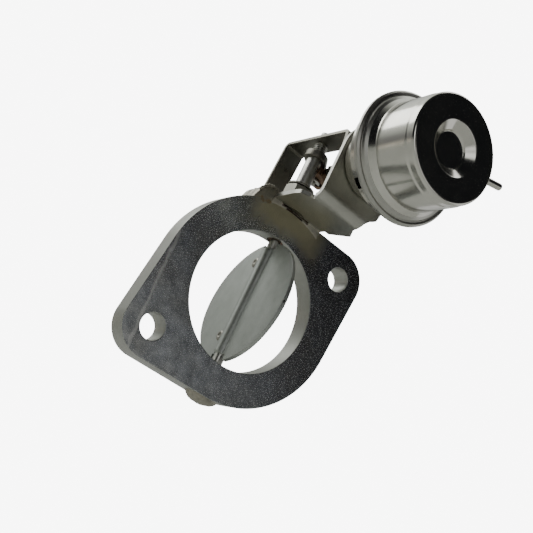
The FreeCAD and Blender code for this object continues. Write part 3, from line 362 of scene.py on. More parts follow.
def lapped_face():
    """Lapped and polished plate: a dull mirror with fine bright pits; under the bracket it is brushed and
    painted olive, a painted reflection of the overhanging foot.
    """
    material, tree, place = new_material("stainless_plate_lapped")
    parts = add(tree, "SeparateXYZ", {0: place}).outputs
    clouds = grain_of(tree, place, 16.0, detail=5.0, rough=0.55, seed=1.0)
    patches = grain_of(tree, place, 5.0, detail=4.0, rough=0.6, seed=4.0)
    # Grit of the lapping, coarser than the real 0.1 mm so that it shows
    grit = grain_of(tree, place, 0.5, detail=2.0, rough=0.7, seed=9.0)
    height = add(tree, "Math", {0: clouds, 1: BRUSHED_REFLECTION_DRIFT * MM, 2: parts["Z"]}, operation="MULTIPLY_ADD")
    off_centre = add(tree, "Math", {0: parts["X"]}, operation="ABSOLUTE")
    across = add(tree, "VectorMath", {0: place, 1: STREAK_ACROSS}, operation="DOT_PRODUCT")
    across = add(tree, "Math", {0: patches, 1: STREAK_WANDER * MM, 2: across}, operation="MULTIPLY_ADD")
    off_line = add(tree, "Math", {0: across, 1: STREAK_AT * MM}, operation="SUBTRACT")
    off_line = add(tree, "Math", {0: off_line}, operation="ABSOLUTE")
    upper, central, pitted, on_line, at_left = [
        add(tree, "MapRange", {"Value": value, "From Min": start, "From Max": full}, **SOFT_STEP)
        for value, start, full in [
            (height, BRUSHED_REFLECTION_FROM * MM, BRUSHED_REFLECTION_FULL * MM),
            (off_centre, BRUSHED_REFLECTION_HALF * MM, BRUSHED_REFLECTION_CORE * MM),
            (grit, PITS_FROM, PITS_FULL),
            (off_line, STREAK_EDGE * MM, STREAK_CORE * MM),
            (parts["X"], STREAK_START_X * MM, STREAK_FULL_X * MM)]]
    # Mask of the zone under the bracket: brushed, and painted olive as a reflection of the foot plate that
    # overhangs the face
    brushed_reflection = add(tree, "Math", {0: upper, 1: central}, operation="MULTIPLY")
    outside_brushed_reflection = add(tree, "Math", {0: 1.0, 1: brushed_reflection}, operation="SUBTRACT")
    pits = add(tree, "Math", {0: pitted, 1: outside_brushed_reflection}, operation="MULTIPLY")
    streak = add(tree, "Math", {0: on_line, 1: at_left}, operation="MULTIPLY")
    streak = add(tree, "Math", {0: streak, 1: 0.6}, operation="MULTIPLY")
    bright = add(tree, "Math", {0: pits, 1: streak}, operation="MAXIMUM")
    clouded = add(tree, "MapRange", {"Value": clouds, **NOISE_SPAN, "To Min": 0.0, "To Max": 0.8})
    patched = add(tree, "MapRange", {"Value": patches, **NOISE_SPAN, "To Min": 0.0, "To Max": 0.75})
    toned = add(tree, "Mix", {"Factor": clouded, 6: "#a9adb0", 7: "#8d8c84"}, data_type="RGBA")
    toned = add(tree, "Mix", {"Factor": patched, 6: toned, 7: "#63676c"}, data_type="RGBA")
    toned = add(tree, "Mix", {"Factor": bright, 6: toned, 7: "#cfd0cb"}, data_type="RGBA")
    # Painted reflection: the olive of the overhanging foot, mixed into the brushed zone
    toned = add(tree, "Mix", {"Factor": brushed_reflection, 6: toned, 7: "#a29d86"}, data_type="RGBA")
    dull = add(tree, "MapRange", {"Value": patches, **NOISE_SPAN, "To Min": 0.17, "To Max": 0.27})
    dull = add(tree, "Math", {0: bright, 1: 0.14, 2: dull}, operation="MULTIPLY_ADD")
    dull = add(tree, "Math", {0: brushed_reflection, 1: 0.16, 2: dull}, operation="MULTIPLY_ADD")
    hollows = add(tree, "Math", {0: patches, 1: 0.9}, operation="MULTIPLY")
    hollows = add(tree, "Math", {0: bright, 1: 0.1, 2: hollows}, operation="MULTIPLY_ADD")
    relief = add(tree, "Bump", {"Height": hollows, "Distance": 0.11 * MM})
    end_in_surface(tree, {"Base Color": toned, "Metallic": 1.0, "Roughness": dull, "Normal": relief})
    return material


def mirror_steel(name, base, dull, seed):
    """Deep drawn can, buffed to a mirror with faint handling haze."""
    material, tree, place = new_material(name)
    haze = grain_of(tree, place, 9.0, detail=5.0, rough=0.6, seed=seed)
    waves = grain_of(tree, place, 6.0, detail=1.0, seed=seed + 2.0)
    polish = add(tree, "MapRange", {"Value": haze, **NOISE_SPAN, "To Min": dull, "To Max": dull + 0.07})
    hazy = add(tree, "MapRange", {"Value": haze, **NOISE_SPAN, "To Min": 0.0, "To Max": 0.25})
    toned = add(tree, "Mix", {"Factor": hazy, 6: base, 7: "#a8a79d"}, data_type="RGBA")
    relief = add(tree, "Bump", {"Height": waves, "Distance": 0.012 * MM})
    end_in_surface(tree, {"Base Color": toned, "Metallic": 1.0, "Roughness": polish, "Normal": relief})
    return material


def weld_metal():
    """Brushed weld: rippled olive grey, with a straw tint in places and soot in its hollows."""
    material, tree, place = new_material("weld_bead_brushed")
    ripple = grain_of(tree, place, 1.4, detail=3.0, rough=0.55, seed=2.0)
    tint = grain_of(tree, place, 5.0, detail=3.0, seed=7.0)
    shades = add(tree, "ValToRGB", {"Fac": tint}, stops=[
        (0.0, "#6e6d66"), (0.42, "#9b988c"), (0.62, "#a5a193"), (0.7, "#94815f"), (0.8, "#8e8c86")])
    sooty = add(tree, "MapRange", {"Value": ripple, **NOISE_SPAN, "To Min": 0.0, "To Max": 0.4})
    toned = add(tree, "Mix", {"Factor": sooty, 6: shades, 7: "#716f66"}, data_type="RGBA")
    polish = add(tree, "MapRange", {"Value": ripple, **NOISE_SPAN, "To Min": 0.3, "To Max": 0.48})
    relief = add(tree, "Bump", {"Height": ripple, "Distance": 0.05 * MM})
    end_in_surface(tree, {"Base Color": toned, "Metallic": 1.0, "Roughness": polish, "Normal": relief})
    return material


def mottled(name, dark, light, metallic, roughness, grain_mm, grain_depth):
    """A dull skin whose grain runs from a dark tone to a lighter one: the painted shade of a crevice, and
    moulded rubber.
    """
    material, tree, place = new_material(name)
    skin = grain_of(tree, place, grain_mm)
    lighter = add(tree, "MapRange", {"Value": skin, **NOISE_SPAN})
    toned = add(tree, "Mix", {"Factor": lighter, 6: dark, 7: light}, data_type="RGBA")
    relief = add(tree, "Bump", {"Height": skin, "Distance": grain_depth * MM})
    end_in_surface(tree, {"Base Color": toned, "Metallic": metallic, "Roughness": roughness,
                          "Normal": relief})
    return material


def turned_steel(name, base, dark, rough):
    """Bar turned or wire drawn along Z: fine rings round it, brighter on the crests."""
    return steel(name, base, dark, rough, rough + 0.16, grain_mm=0.35, grain_depth=0.002,
                 stretch=(0.02, 0.02, 1.0), cloud_mm=5.0, cloud=0.4, seed=5.0)


# The flange: polished by lapping on its faces, left as ground at its edge
LAPPED = lapped_face()
SATIN = steel("stainless_plate_ground", "#adaea8", "#888980", 0.32, 0.5,
              grain_mm=0.4, grain_depth=0.006, seed=2.0)

# Pressed sheet: satin where it was rolled, cloudy where heat reached it, scuffed on the strap
SHEET = steel("stainless_sheet_pressed", "#b3b3ab", "#8c8b83", 0.3, 0.46,
              grain_mm=0.45, grain_depth=0.006, seed=6.0)
STRAP = steel("stainless_strap_scuffed", "#8b8a80", "#65645c", 0.34, 0.5,
              grain_mm=0.6, grain_depth=0.012, seed=16.0)
FLAP_SHEET = steel("stainless_sheet_flap", "#acb0ab", "#868a83", 0.38, 0.52,
                   grain_mm=0.6, grain_depth=0.03, cloud_mm=7.0, seed=8.0)

# The can: a buffed mirror, duller on the shell behind it and on the rolled rim
MIRROR = mirror_steel("stainless_can_buffed", "#cdccc4", 0.13, 3.0)
SHELL = mirror_steel("stainless_shell_drawn", "#b5b3aa", 0.16, 5.0)
RIM = steel("stainless_rim_rolled", "#b4b4ad", "#85857e", 0.26, 0.38,
            grain_mm=0.5, grain_depth=0.001, cloud_mm=8.0, seed=4.0)

# Welds, and the nearly black painted shade in an unfilled seam's crevice
WELD = weld_metal()
CREVICE_SHADE = mottled("weld_crevice_painted_shade", "#1c1a18", "#4a3826", 0.6, 0.7, 0.9, 0.06)

# Bar, wire and small hardware: ringed by the tool, greyed by zinc or browned by heat
SHAFT = turned_steel("stainless_bar_turned", "#c6c6bf", "#8f8f88", 0.24)
SPRING = turned_steel("spring_wire_drawn", "#bdbdb6", "#8c8c86", 0.22)
HARDWARE = steel("steel_zinc_plated", "#94938a", "#66645b", 0.32, 0.48, grain_mm=0.4, seed=9.0)
DARK_STEEL = steel("steel_heat_stained", "#7f7d74", "#56544d", 0.3, 0.48,
                   grain_mm=0.5, grain_depth=0.01, seed=11.0)

# Bearings and seals: sandy brown bronze, dark graphite and matt black rubber
BRONZE = steel("bronze_sintered", "#7a624e", "#4a3a2e", 0.42, 0.58,
               grain_mm=0.35, grain_depth=0.01, seed=12.0)
GRAPHITE = steel("graphite_pressed", "#3a3a3a", "#242424", 0.4, 0.6, seed=14.0)
RUBBER = mottled("rubber_moulded", "#131312", "#232220", 0.0, 0.6, 0.8, 0.03)


# Camera and light

# Solved from the photograph's perspective for a 63 mm bore
CAMERA_AT = Vector((-170.13, -308.29, -103.91))
CAMERA_RIGHT = Vector((0.7168, -0.5634, 0.4109))
CAMERA_DOWN = Vector((0.5245, 0.0474, -0.8501))
CAMERA_FORWARD = CAMERA_RIGHT.cross(CAMERA_DOWN)
LENS = 55.9
SENSOR = 36.0


def make_camera():
    """The camera at the photograph's place and angle."""
    data = bpy.data.cameras.new("photo_camera")
    data.sensor_width = SENSOR
    data.lens = LENS
    data.clip_start = 0.01
    camera = bpy.data.objects.new("photo_camera", data)
    bpy.context.scene.collection.objects.link(camera)
    turn = Matrix((CAMERA_RIGHT, -CAMERA_DOWN, -CAMERA_FORWARD)).transposed().to_4x4()
    camera.matrix_world = Matrix.Translation(CAMERA_AT * MM) @ turn
    bpy.context.scene.camera = camera


def along_camera(tree, direction, right, down, ahead):
    """How far a direction points along one given in the photo camera's axes, from -1 to 1."""
    axis = (CAMERA_RIGHT * right + CAMERA_DOWN * down + CAMERA_FORWARD * ahead).normalized()
    return add(tree, "VectorMath", {0: direction, 1: tuple(axis)}, operation="DOT_PRODUCT")


def level_ramp(tree, value, levels):
    """Brightness over a value from -1 to 1; a level is its place, its brightness and its tint."""
    brightest = max(level[1] for level in levels)
    upright = add(tree, "Math", {0: value, 1: 0.5, 2: 0.5}, operation="MULTIPLY_ADD")
    stops = [((place + 1) / 2, tuple(part * bright / brightest for part in tint))
             for place, bright, tint in levels]
    band = add(tree, "ValToRGB", {"Fac": upright}, stops)
    return add(tree, "VectorMath", {0: band, "Scale": brightest}, operation="SCALE")


NEUTRAL = (1.0, 1.0, 1.0)
WARM = (1.0, 0.93, 0.80)
GREENISH = (0.97, 1.0, 0.95)

# The tent's walls beside and behind the valve, from the top of the picture to its foot
SIDE_LEVELS = [
    (-1.0, 0.9, GREENISH), (-0.72, 1.15, GREENISH), (-0.52, 0.65, GREENISH), (-0.40, 0.24, NEUTRAL),
    (-0.31, 0.20, NEUTRAL), (-0.20, 0.95, WARM), (-0.10, 0.70, WARM), (0.06, 0.34, WARM), (0.20, 0.30, WARM),
    (0.45, 0.62, GREENISH), (0.75, 0.85, NEUTRAL), (1.0, 0.85, NEUTRAL),
]
BACK_LEVELS = [
    (-1.0, 1.05, GREENISH), (-0.62, 1.05, GREENISH), (-0.35, 0.45, GREENISH), (0.2, 0.4, GREENISH),
    (0.6, 0.95, NEUTRAL), (1.0, 0.95, NEUTRAL),
]

# Soft windows: place along the camera's right, down and ahead, where each starts and is full, its brightness
WINDOWS = [
    (0.70, 0.12, -0.70, 0.895, 0.985, 0.6),
    (0.12, -0.42, -0.90, 0.974, 0.992, 1.7),
    (0.12, -0.08, -0.99, 0.976, 0.992, 1.5),
    (0.83, 0.55, 0.07, 0.90, 0.98, 0.9),
    (0.62, -0.69, 0.38, 0.965, 0.985, 1.8),
]
DARK_ROOM = "#18191b"
WHITE_SWEEP = 8.0


def make_world():
    """A light tent: pale above, below and behind the valve, banded at its sides, dark towards the camera."""
    world = bpy.data.worlds.new("studio_tent")
    bpy.context.scene.world = world
    world.use_nodes = True
    tree = world.node_tree
    tree.nodes.clear()
    direction = add(tree, "TexCoord").outputs["Generated"]
    down = along_camera(tree, direction, 0, 1, 0)
    ahead = along_camera(tree, direction, 0, 0, 1)
    lit_side = along_camera(tree, direction, -0.37, 0, 1)
    side = level_ramp(tree, down, SIDE_LEVELS)
    back = level_ramp(tree, down, BACK_LEVELS)
    behind = add(tree, "MapRange", {"Value": ahead, "From Min": 0.25, "From Max": 0.75},
                 **SOFT_STEP)
    within = add(tree, "MapRange", {"Value": lit_side, "From Min": -0.12, "From Max": 0.36},
                 **SOFT_STEP)
    tent = add(tree, "Mix", {"Factor": behind, 6: side, 7: back}, data_type="RGBA")
    room = add(tree, "Mix", {"Factor": within, 6: DARK_ROOM, 7: tent}, data_type="RGBA")
    for right, lower, forward, start, full, brightness in WINDOWS:
        facing = along_camera(tree, direction, right, lower, forward)
        glow = add(tree, "MapRange", {"Value": facing, "From Min": start, "From Max": full},
                   **SOFT_STEP)
        glow = add(tree, "Math", {0: glow, 1: brightness}, operation="MULTIPLY")
        lit = add(tree, "VectorMath", {0: NEUTRAL, "Scale": glow}, operation="SCALE")
        room = add(tree, "VectorMath", {0: room, 1: lit}, operation="ADD")
    shown = add(tree, "Background", {"Color": room, "Strength": 1.0})
    white = add(tree, "Background", {"Color": (*NEUTRAL, 1.0), "Strength": WHITE_SWEEP})
    seen = add(tree, "LightPath").outputs["Is Camera Ray"]
    both = add(tree, "MixShader", {0: seen, 1: shown, 2: white})
    add(tree, "OutputWorld", {"Surface": both})


def softbox(name, right, down, ahead, width, height, power):
    """An area light placed from the valve's middle along the camera's directions, facing the valve."""
    data = bpy.data.lights.new(name, "AREA")
    data.shape = "RECTANGLE"
    data.size = width * MM
    data.size_y = height * MM
    data.energy = power
    light = bpy.data.objects.new(name, data)
    bpy.context.scene.collection.objects.link(light)
    aim = Vector((12.0, -25.0, 20.0))
    spot = aim + CAMERA_RIGHT * right + CAMERA_DOWN * down + CAMERA_FORWARD * ahead
    turn = (aim - spot).to_track_quat("-Z", "Y").to_matrix().to_4x4()
    light.matrix_world = Matrix.Translation(spot * MM) @ turn


FLOOR_HALF = 2500.0
FLOOR_Z = -420.0


def make_floor():
    """A pale floor well below the valve, so that the low camera still sees clear of it."""
    material, tree, place = new_material("paper_sweep_pale")
    toned = add(tree, "Mix", {"Factor": grain_of(tree, place, 3.0), 6: "#f2f2f0", 7: "#efefec"},
                data_type="RGBA")
    end_in_surface(tree, {"Base Color": toned, "Roughness": 0.8})
    bm = bmesh.new()
    bmesh.ops.create_grid(bm, x_segments=1, y_segments=1, size=FLOOR_HALF,
                          matrix=Matrix.Translation((0.0, 0.0, FLOOR_Z)))
    floor = loose_object("floor", bm)
    floor.data.materials.append(material)


make_camera()
make_world()
softbox("top_softbox", right=-260, down=-520, ahead=160, width=520, height=300, power=1.6)
make_floor()


# The flange

BORE_RAD = 31.5
LOBE_RAD = 13.65
GLAND_BORE_RAD = 4.5
BUSH_RAD = high("upper_bush", "x")
SHAFT_RAD = high("shaft", "x")
FLANGE_RAD = high("flange_plate", "z")
FLANGE_FRONT = low("flange_plate", "y")


def make_flange():
    """The oval plate, with its bore, two bolt holes and the shaft's cross bores."""
    mount = next(item for item in frame["record"]["mounts"] if item["name"] == "flange_bolts")
    bolt_z = FLANGE_RAD - LOBE_RAD
    bolt_x = math.sqrt((mount["dims"]["pcd_mm"] / 2) ** 2 - bolt_z ** 2)
    tangent = 2 * math.atan2(bolt_z, bolt_x) - math.pi / 2
    up = math.pi / 2
    outer = []
    for sign, side in ((1.0, 0.0), (-1.0, math.pi)):
        outer += circle_points((sign * bolt_x, sign * bolt_z), LOBE_RAD, 36, up + side, tangent - up)
        outer += circle_points((0.0, 0.0), FLANGE_RAD, 64, tangent + side, -up - tangent)
    holes = [circle_points((0.0, 0.0), BORE_RAD, 192)]
    for sign in (1, -1):
        holes.append(circle_points((sign * bolt_x, sign * bolt_z), mount["dims"]["hole_r_mm"], 64))
    bm = bmesh.new()
    plate(bm, outer, holes, -2 * FLANGE_FRONT,
          lambda spot, rise: Vector((spot[0], rise + FLANGE_FRONT, spot[1])))
    bmesh.ops.remove_doubles(bm, verts=bm.verts, dist=1e-3)
    soften(bm, 0.35, segments=3)
    for item in bm.faces:
        item.material_index = 0 if abs(item.normal.y) > 0.95 else 1
    piece = finish_mesh("flange_plate_lapped", bm, [LAPPED, SATIN], "flange_plate",
                        smooth_deg=40)
    past = FLANGE_RAD + 2
    cut_away(piece, [rod_cutter((0, 0, -past), (0, 0, past), BUSH_RAD),
                     rod_cutter((0, 0, low("gland_body", "z")), (0, 0, past), GLAND_BORE_RAD)])


# The vacuum can and its rear shell

ROD_X = (high("rear_shell", "x") + low("rear_shell", "x")) / 2
ROD_Z = (high("rear_shell", "z") + low("rear_shell", "z")) / 2
ROD_AT = (ROD_X, 0.0, ROD_Z)

# Outside this radius the can is the rolled rim
DRUM_RAD = 25.4


def make_front_can():
    """The drawn can: dished face, long side, beaded shoulder and the crimped rim."""
    face = low("front_can", "y")
    back = high("front_can", "y")
    rim = high("front_can", "z") - ROD_Z
    step = -56.0
    outside = [
        (0.0, face + 3.4), (7.6, face + 3.4, 0.55), (8.2, face + 2.6, 0.55), (11.9, face, 1.1),
        (23.0, face, 1.5), (23.0, face + 4.0, 1.2), (23.3, face + 4.9, 1.2), (23.3, step - 4.4, 1.8),
        (25.1, step - 2.0, 0.5), (26.3, step - 1.0, 0.5), (27.0, step + 0.1, 0.4), (28.0, step - 0.3, 0.4),
        (rim, step + 0.6, 0.6), (rim, back - 0.7, 0.5), (rim - 0.7, back, 0.4), (27.2, back),
    ]
    inside = [
        (27.2, back - 0.4), (rim - 0.8, back - 0.4), (rim - 0.8, step + 0.8, 0.3), (25.4, step + 0.4, 0.5),
        (22.5, step - 4.0, 1.0), (22.5, face + 2.2, 0.6), (21.1, face + 0.8, 0.6), (12.4, face + 0.8, 0.5),
        (8.3, face + 4.2, 0.5), (0.0, face + 4.2),
    ]
    bm = lathe(bmesh.new(), round_corners(outside + inside, steps=6), "Y", ROD_AT, steps=160)
    for item in bm.faces:
        middle = item.calc_center_median()
        item.material_index = 1 if math.hypot(middle.x - ROD_X, middle.z - ROD_Z) > DRUM_RAD else 0
    finish_mesh("front_can_buffed", bm, [MIRROR, RIM], "front_can", smooth_deg=60)


VENT_SIZE = (6.0, 2.8, 5.0)
VENT_Y = -48.0
FIRST_VENT_DEG = -122.5


def make_rear_shell():
    """The pressed rear shell, with four vent windows in its wall."""
    pad = high("rear_shell", "y")
    back = low("rear_shell", "y")
    hole = high("rod_guide", "z") - ROD_Z
    flange = high("rear_shell", "z") - ROD_Z
    wall = 24.6
    outside = [(hole, pad), (17.0, pad, 1.4), (18.0, pad - 11.6, 1.4), (22.9, pad - 11.6, 1.2),
               (wall, pad - 13.2, 1.2), (wall, back + 0.8, 0.8), (flange, back + 0.8)]
    inside = [(flange, back), (wall - 0.8, back, 0.3), (wall - 0.8, pad - 13.6, 0.8), (22.5, pad - 12.4, 0.6),
              (17.3, pad - 12.4, 0.6), (16.3, pad - 0.8, 0.6), (hole, pad - 0.8)]
    bm = lathe(bmesh.new(), round_corners(outside + inside, steps=5), "Y", ROD_AT, steps=144)
    piece = finish_mesh("rear_shell_drawn", bm, [SHELL], "rear_shell", smooth_deg=60)
    cutters = []
    for quarter in range(4):
        turn = math.radians(FIRST_VENT_DEG + 90 * quarter)
        out = Vector((math.cos(turn), 0.0, math.sin(turn)))
        vent = block(VENT_SIZE)
        soften(vent, 0.4)
        bmesh.ops.rotate(vent, cent=(0, 0, 0), matrix=Matrix.Rotation(-turn, 3, "Y"), verts=vent.verts)
        bmesh.ops.translate(vent, vec=Vector((ROD_X, VENT_Y, ROD_Z)) + out * wall, verts=vent.verts)
        cutters.append(loose_object("vent_cutter", vent))
    cut_away(piece, cutters)


# Bracket, strap and welds

SHEET_THICK = 2.0
BEND_RAD = 5.0
BEND_MID = BEND_RAD - SHEET_THICK / 2
BEND_LEN = BEND_MID * math.pi / 2
BEND_CUTS = 8
FOOT_LOW = low("mount_bracket", "z")
FOOT_TOP = FOOT_LOW + SHEET_THICK
PLATE_FRONT = low("mount_bracket", "y")
BEND_Y = PLATE_FRONT + BEND_RAD
BEND_Z = FOOT_LOW + BEND_RAD
FOOT_RIGHT = 16.4
STUD_OFF = 13.4
STRAP_HALF = high("bridge_strap", "x")


def on_foot(x, y, *radius):
    """A corner of the flat blank that ends up on the foot."""
    return (x, BEND_Y - y, *radius)


def on_plate(x, z, *radius):
    """A corner of the flat blank that ends up on the upright plate."""
    return (x, BEND_LEN + z - BEND_Z, *radius)


def fold(point):
    """Where a point of the flat blank (x, along, depth) goes when the bracket is bent."""
    x, along, depth = point
    radius = BEND_MID + depth
    if along <= 0:
        return Vector((x, BEND_Y - along, BEND_Z - radius))
    if along >= BEND_LEN:
        return Vector((x, BEND_Y - radius, BEND_Z + along - BEND_LEN))
    turn = along / BEND_MID
    return Vector((x, BEND_Y - radius * math.sin(turn), BEND_Z - radius * math.cos(turn)))


def make_bracket():
    """The mounting bracket, cut flat with its holes and bent once."""
    head_rad = high("mount_bracket", "x") - ROD_X
    tail = high("mount_bracket", "y")
    rod = on_plate(ROD_X, ROD_Z)
    corners = [
        on_foot(-13.0, 9.0, 3), on_foot(-7.0, 16.0, 4), on_foot(-7.0, tail, 1.5),
        on_foot(7.0, tail, 1.5), on_foot(7.0, 16.0, 4), on_foot(FOOT_RIGHT, 9.0, 3),
        on_foot(FOOT_RIGHT, -8.8, 0.5), on_foot(18.7, -8.8, 0.8), on_foot(22.7, -20.6, 1.6),
        on_foot(18.3, -27.2, 0.8), (17.9, 1.0, 0.6), (18.6, 4.6, 1.0),
        on_plate(20.9, 52.6, 2.4), on_plate(23.6, 54.3, 1.0), on_plate(24.3, 57.4, 1.2),
        *circle_points(rod, head_rad, 64, 0.03, math.pi - 0.03),
        (-8.2, 0.6, 0.3), on_foot(-6.75, -27.8, 0.4), on_foot(-7.4, -26.6, 0.5),
        on_foot(-8.6, -26.5, 0.6), on_foot(-12.4, -23.6, 2.5), on_foot(-13.0, -20.0, 2),
    ]
    gland_hole = circle_points(on_foot(0.0, 0.0), 8.1, 72)
    rod_hole = circle_points(rod, 4.2, 40)
    stud_holes = [circle_points(on_plate(ROD_X, ROD_Z + offset), 2.1, 32) for offset in (STUD_OFF, -STUD_OFF)]
    bm = bmesh.new()
    plate(bm, round_corners(corners, steps=5), [gland_hole, rod_hole, *stud_holes], SHEET_THICK,
          lambda spot, rise: Vector((spot[0], spot[1], rise - SHEET_THICK / 2)))
    for step in range(BEND_CUTS + 1):
        bmesh.ops.bisect_plane(bm, geom=bm.verts[:] + bm.edges[:] + bm.faces[:], plane_no=(0, 1, 0),
                               plane_co=(0, BEND_LEN * step / BEND_CUTS, 0), dist=MERGE / 10)
    soften(bm, 0.22)
    for vert in bm.verts:
        vert.co = fold(vert.co)
    finish_mesh("mount_bracket_pressed", bm, [SHEET], "mount_bracket", smooth_deg=32)


STRAP_THICK = 1.5
STRAP_LEAN = 2.7
FRONT_BEND_Y = -24.8
FRONT_BEND_Z = 84.82
BACK_BEND_Z = 87.22
MARK_RISE = 27.2
MARK_RAD = 0.75
MARK_DEEP = 0.6


def make_strap():
    """The strap: one strip bent over the lever, holed for the shaft, with a punched mark."""
    foot = low("bridge_strap", "z")
    back = high("bridge_strap", "y")
    meet = foot + 13.25
    toe = foot + 5.75
    leg = PLATE_FRONT + SHEET_THICK
    outline = round_corners([
        (back, foot),
        (back - STRAP_LEAN, BACK_BEND_Z + STRAP_THICK, 3.0),
        (FRONT_BEND_Y - STRAP_THICK, FRONT_BEND_Z + STRAP_THICK, 3.0),
        (leg, meet, 2.0), (leg, toe, 0.3), (leg + STRAP_THICK, toe, 0.3), (leg + STRAP_THICK, meet, 2.0),
        (FRONT_BEND_Y, FRONT_BEND_Z, 1.5),
        (back - STRAP_THICK - STRAP_LEAN, BACK_BEND_Z, 1.5),
        (back - STRAP_THICK, foot),
    ], steps=6)
    bm = bmesh.new()
    plate(bm, outline, [], 2 * STRAP_HALF, lambda spot, rise: Vector((rise - STRAP_HALF, spot[0], spot[1])))
    soften(bm, 0.2)
    piece = finish_mesh("bridge_strap_bent", bm, [STRAP], "bridge_strap", smooth_deg=32)
    mark_z = foot + MARK_RISE
    mark_y = back - STRAP_THICK - STRAP_LEAN * MARK_RISE / (BACK_BEND_Z - foot)
    hole = rod_cutter((0, 0, FRONT_BEND_Z - 1), (0, 0, BACK_BEND_Z + 3), SHAFT_RAD + 0.05)
    mark = rod_cutter((0, mark_y - 1, mark_z), (0, mark_y + MARK_DEEP, mark_z), MARK_RAD, steps=24)
    cut_away(piece, [hole, mark])


def roughen(bm, depth, size, seed):
    """Push points in and out along their normals, unevenly, as in metal that has flowed."""
    bm.normal_update()
    swells = [perlin.noise(vert.co / size + Vector((seed, 0.0, 0.0))) for vert in bm.verts]
    moves = [vert.normal * swell * depth for vert, swell in zip(bm.verts, swells)]
    for vert, move in zip(bm.verts, moves):
        vert.co += move


MOUND_BACK = 9.0
MOUND_MIDDLE = Vector((-16.0, 43.5))
MOUND_STEPS = 44
RIPPLE_PITCH = 1.7


def make_mound(bm):
    """The heaped weld at the foot's left end, with its rolled front and its row of ripples."""
    outline = round_corners([
        (-10.2, 44.0), (-21.5, 38.2), (-23.0, 40.4, 0.5), (-22.4, 42.6, 2), (-21.3, 45.9, 3),
        (-19.6, 48.3, 3), (-17.2, 50.1, 3), (-13.0, 51.0, 1.5), (-11.4, 50.4, 0.8), (-10.4, 48.8),
    ], steps=4)
    rows = []
    for step in range(MOUND_STEPS + 1):
        along = FLANGE_FRONT + (MOUND_BACK - FLANGE_FRONT) * step / MOUND_STEPS
        near_front = max(0.0, 1.0 - (along - FLANGE_FRONT) / 1.5)
        near_back = max(0.0, 1.0 - (MOUND_BACK - along) / 2.4)
        shrink = 1.0 - 0.16 * near_front ** 2 - 0.3 * near_back ** 2
        ripple = 1.0 + 0.012 * math.sin(math.tau * along / RIPPLE_PITCH)
        row = []
        for spot in outline:
            out = (spot - MOUND_MIDDLE) * shrink
            crown = ripple if spot.y > FOOT_TOP else 1.0
            row.append(Vector((MOUND_MIDDLE.x + out.x, along, MOUND_MIDDLE.y + out.y * crown)))
        rows.append(row)
    closed_sections(bm, rows)


BEAD_PITCH = 1.3
BEAD_SIDES = 14
BEAD_SPACING = 0.35


def make_bead(bm, corners, radius, seed):
    """A run of weld: a swollen rope along a path, with a ripple at each pitch."""
    path = [corners[0]]
    for start, end in zip(corners, corners[1:]):
        count = max(1, round((end - start).length / BEAD_SPACING))
        path += [start.lerp(end, (step + 1) / count) for step in range(count)]
    rows = []
    run = 0.0
    for index, point in enumerate(path):
        ahead = (path[min(index + 1, len(path) - 1)] - path[max(index - 1, 0)]).normalized()
        if index:
            run += (point - path[index - 1]).length
        side = ahead.orthogonal().normalized()
        up = ahead.cross(side)
        end = min(1.0, min(index, len(path) - 1 - index) / 3)
        swell = radius * min(1.0, 0.35 + 0.65 * math.sin(end * math.pi / 2))
        ripple = 0.08 * math.sin(math.tau * run / BEAD_PITCH)
        swell *= 1.0 + ripple + 0.12 * perlin.noise(Vector((run / 2.0, seed, 0)))
        turns = [math.tau * step / BEAD_SIDES for step in range(BEAD_SIDES)]
        rows.append([point + (side * math.cos(turn) + up * math.sin(turn)) * swell for turn in turns])
    closed_sections(bm, rows)


SEAM_START = -13.4
SEAM_SPACING = 0.3
SEAM_COUNT = 99


def make_front_seam(bm):
    """The brushed fillet from the flange's face to the foot, with an unfilled crevice in its middle whose
    faces are painted nearly black as shade.
    """
    rows = []
    for step in range(SEAM_COUNT):
        x = SEAM_START + step * SEAM_SPACING
        arc = math.sqrt(FLANGE_RAD ** 2 - x ** 2)
        wave = 0.35 * perlin.noise(Vector((x / 2.2, 4.0, 0.0)))
        fat = 0.8 + 0.3 * perlin.noise(Vector((x / 3.5, 9.0, 0.0)))
        opened = max(0.0, min(1.0, (x + 8.4) / 1.2, (9.0 - x) / 1.2))
        lip = FLANGE_RAD - 0.25 + wave - 0.02 * x
        wide = 0.16 + 0.3 * opened * (1.0 + perlin.noise(Vector((x / 1.1, 2.0, 0.0))))
        # How far each point stands behind the flange's face, and its height, from the flange up to the foot
        section = [
            (0.3, arc - 1.6), (-0.02, arc - 1.2), (-0.12 * fat, arc - 0.45),
            (-0.34 * fat, (arc + lip) / 2 - 0.2), (-0.5 * fat, lip - wide), (-0.5 * fat + 0.8 * opened, lip),
            (-0.7 * fat, lip + wide * 0.6), (-1.0 * fat, FLANGE_RAD + 0.02), (0.3, FLANGE_RAD + 0.1),
        ]
        rows.append([Vector((x, FLANGE_FRONT + behind, height)) for behind, height in section])
    before = set(bm.faces)
    closed_sections(bm, rows)
    for item in set(bm.faces) - before:
        middle = item.calc_center_median()
        below = FLANGE_RAD - middle.z
        in_length = -8.0 < middle.x < 8.6
        in_height = -0.65 < below < 1.1
        # The crevice's faces take the nearly black material: painted shade in the recess
        if in_length and in_height and middle.y > FLANGE_FRONT - 0.3:
            item.material_index = 1


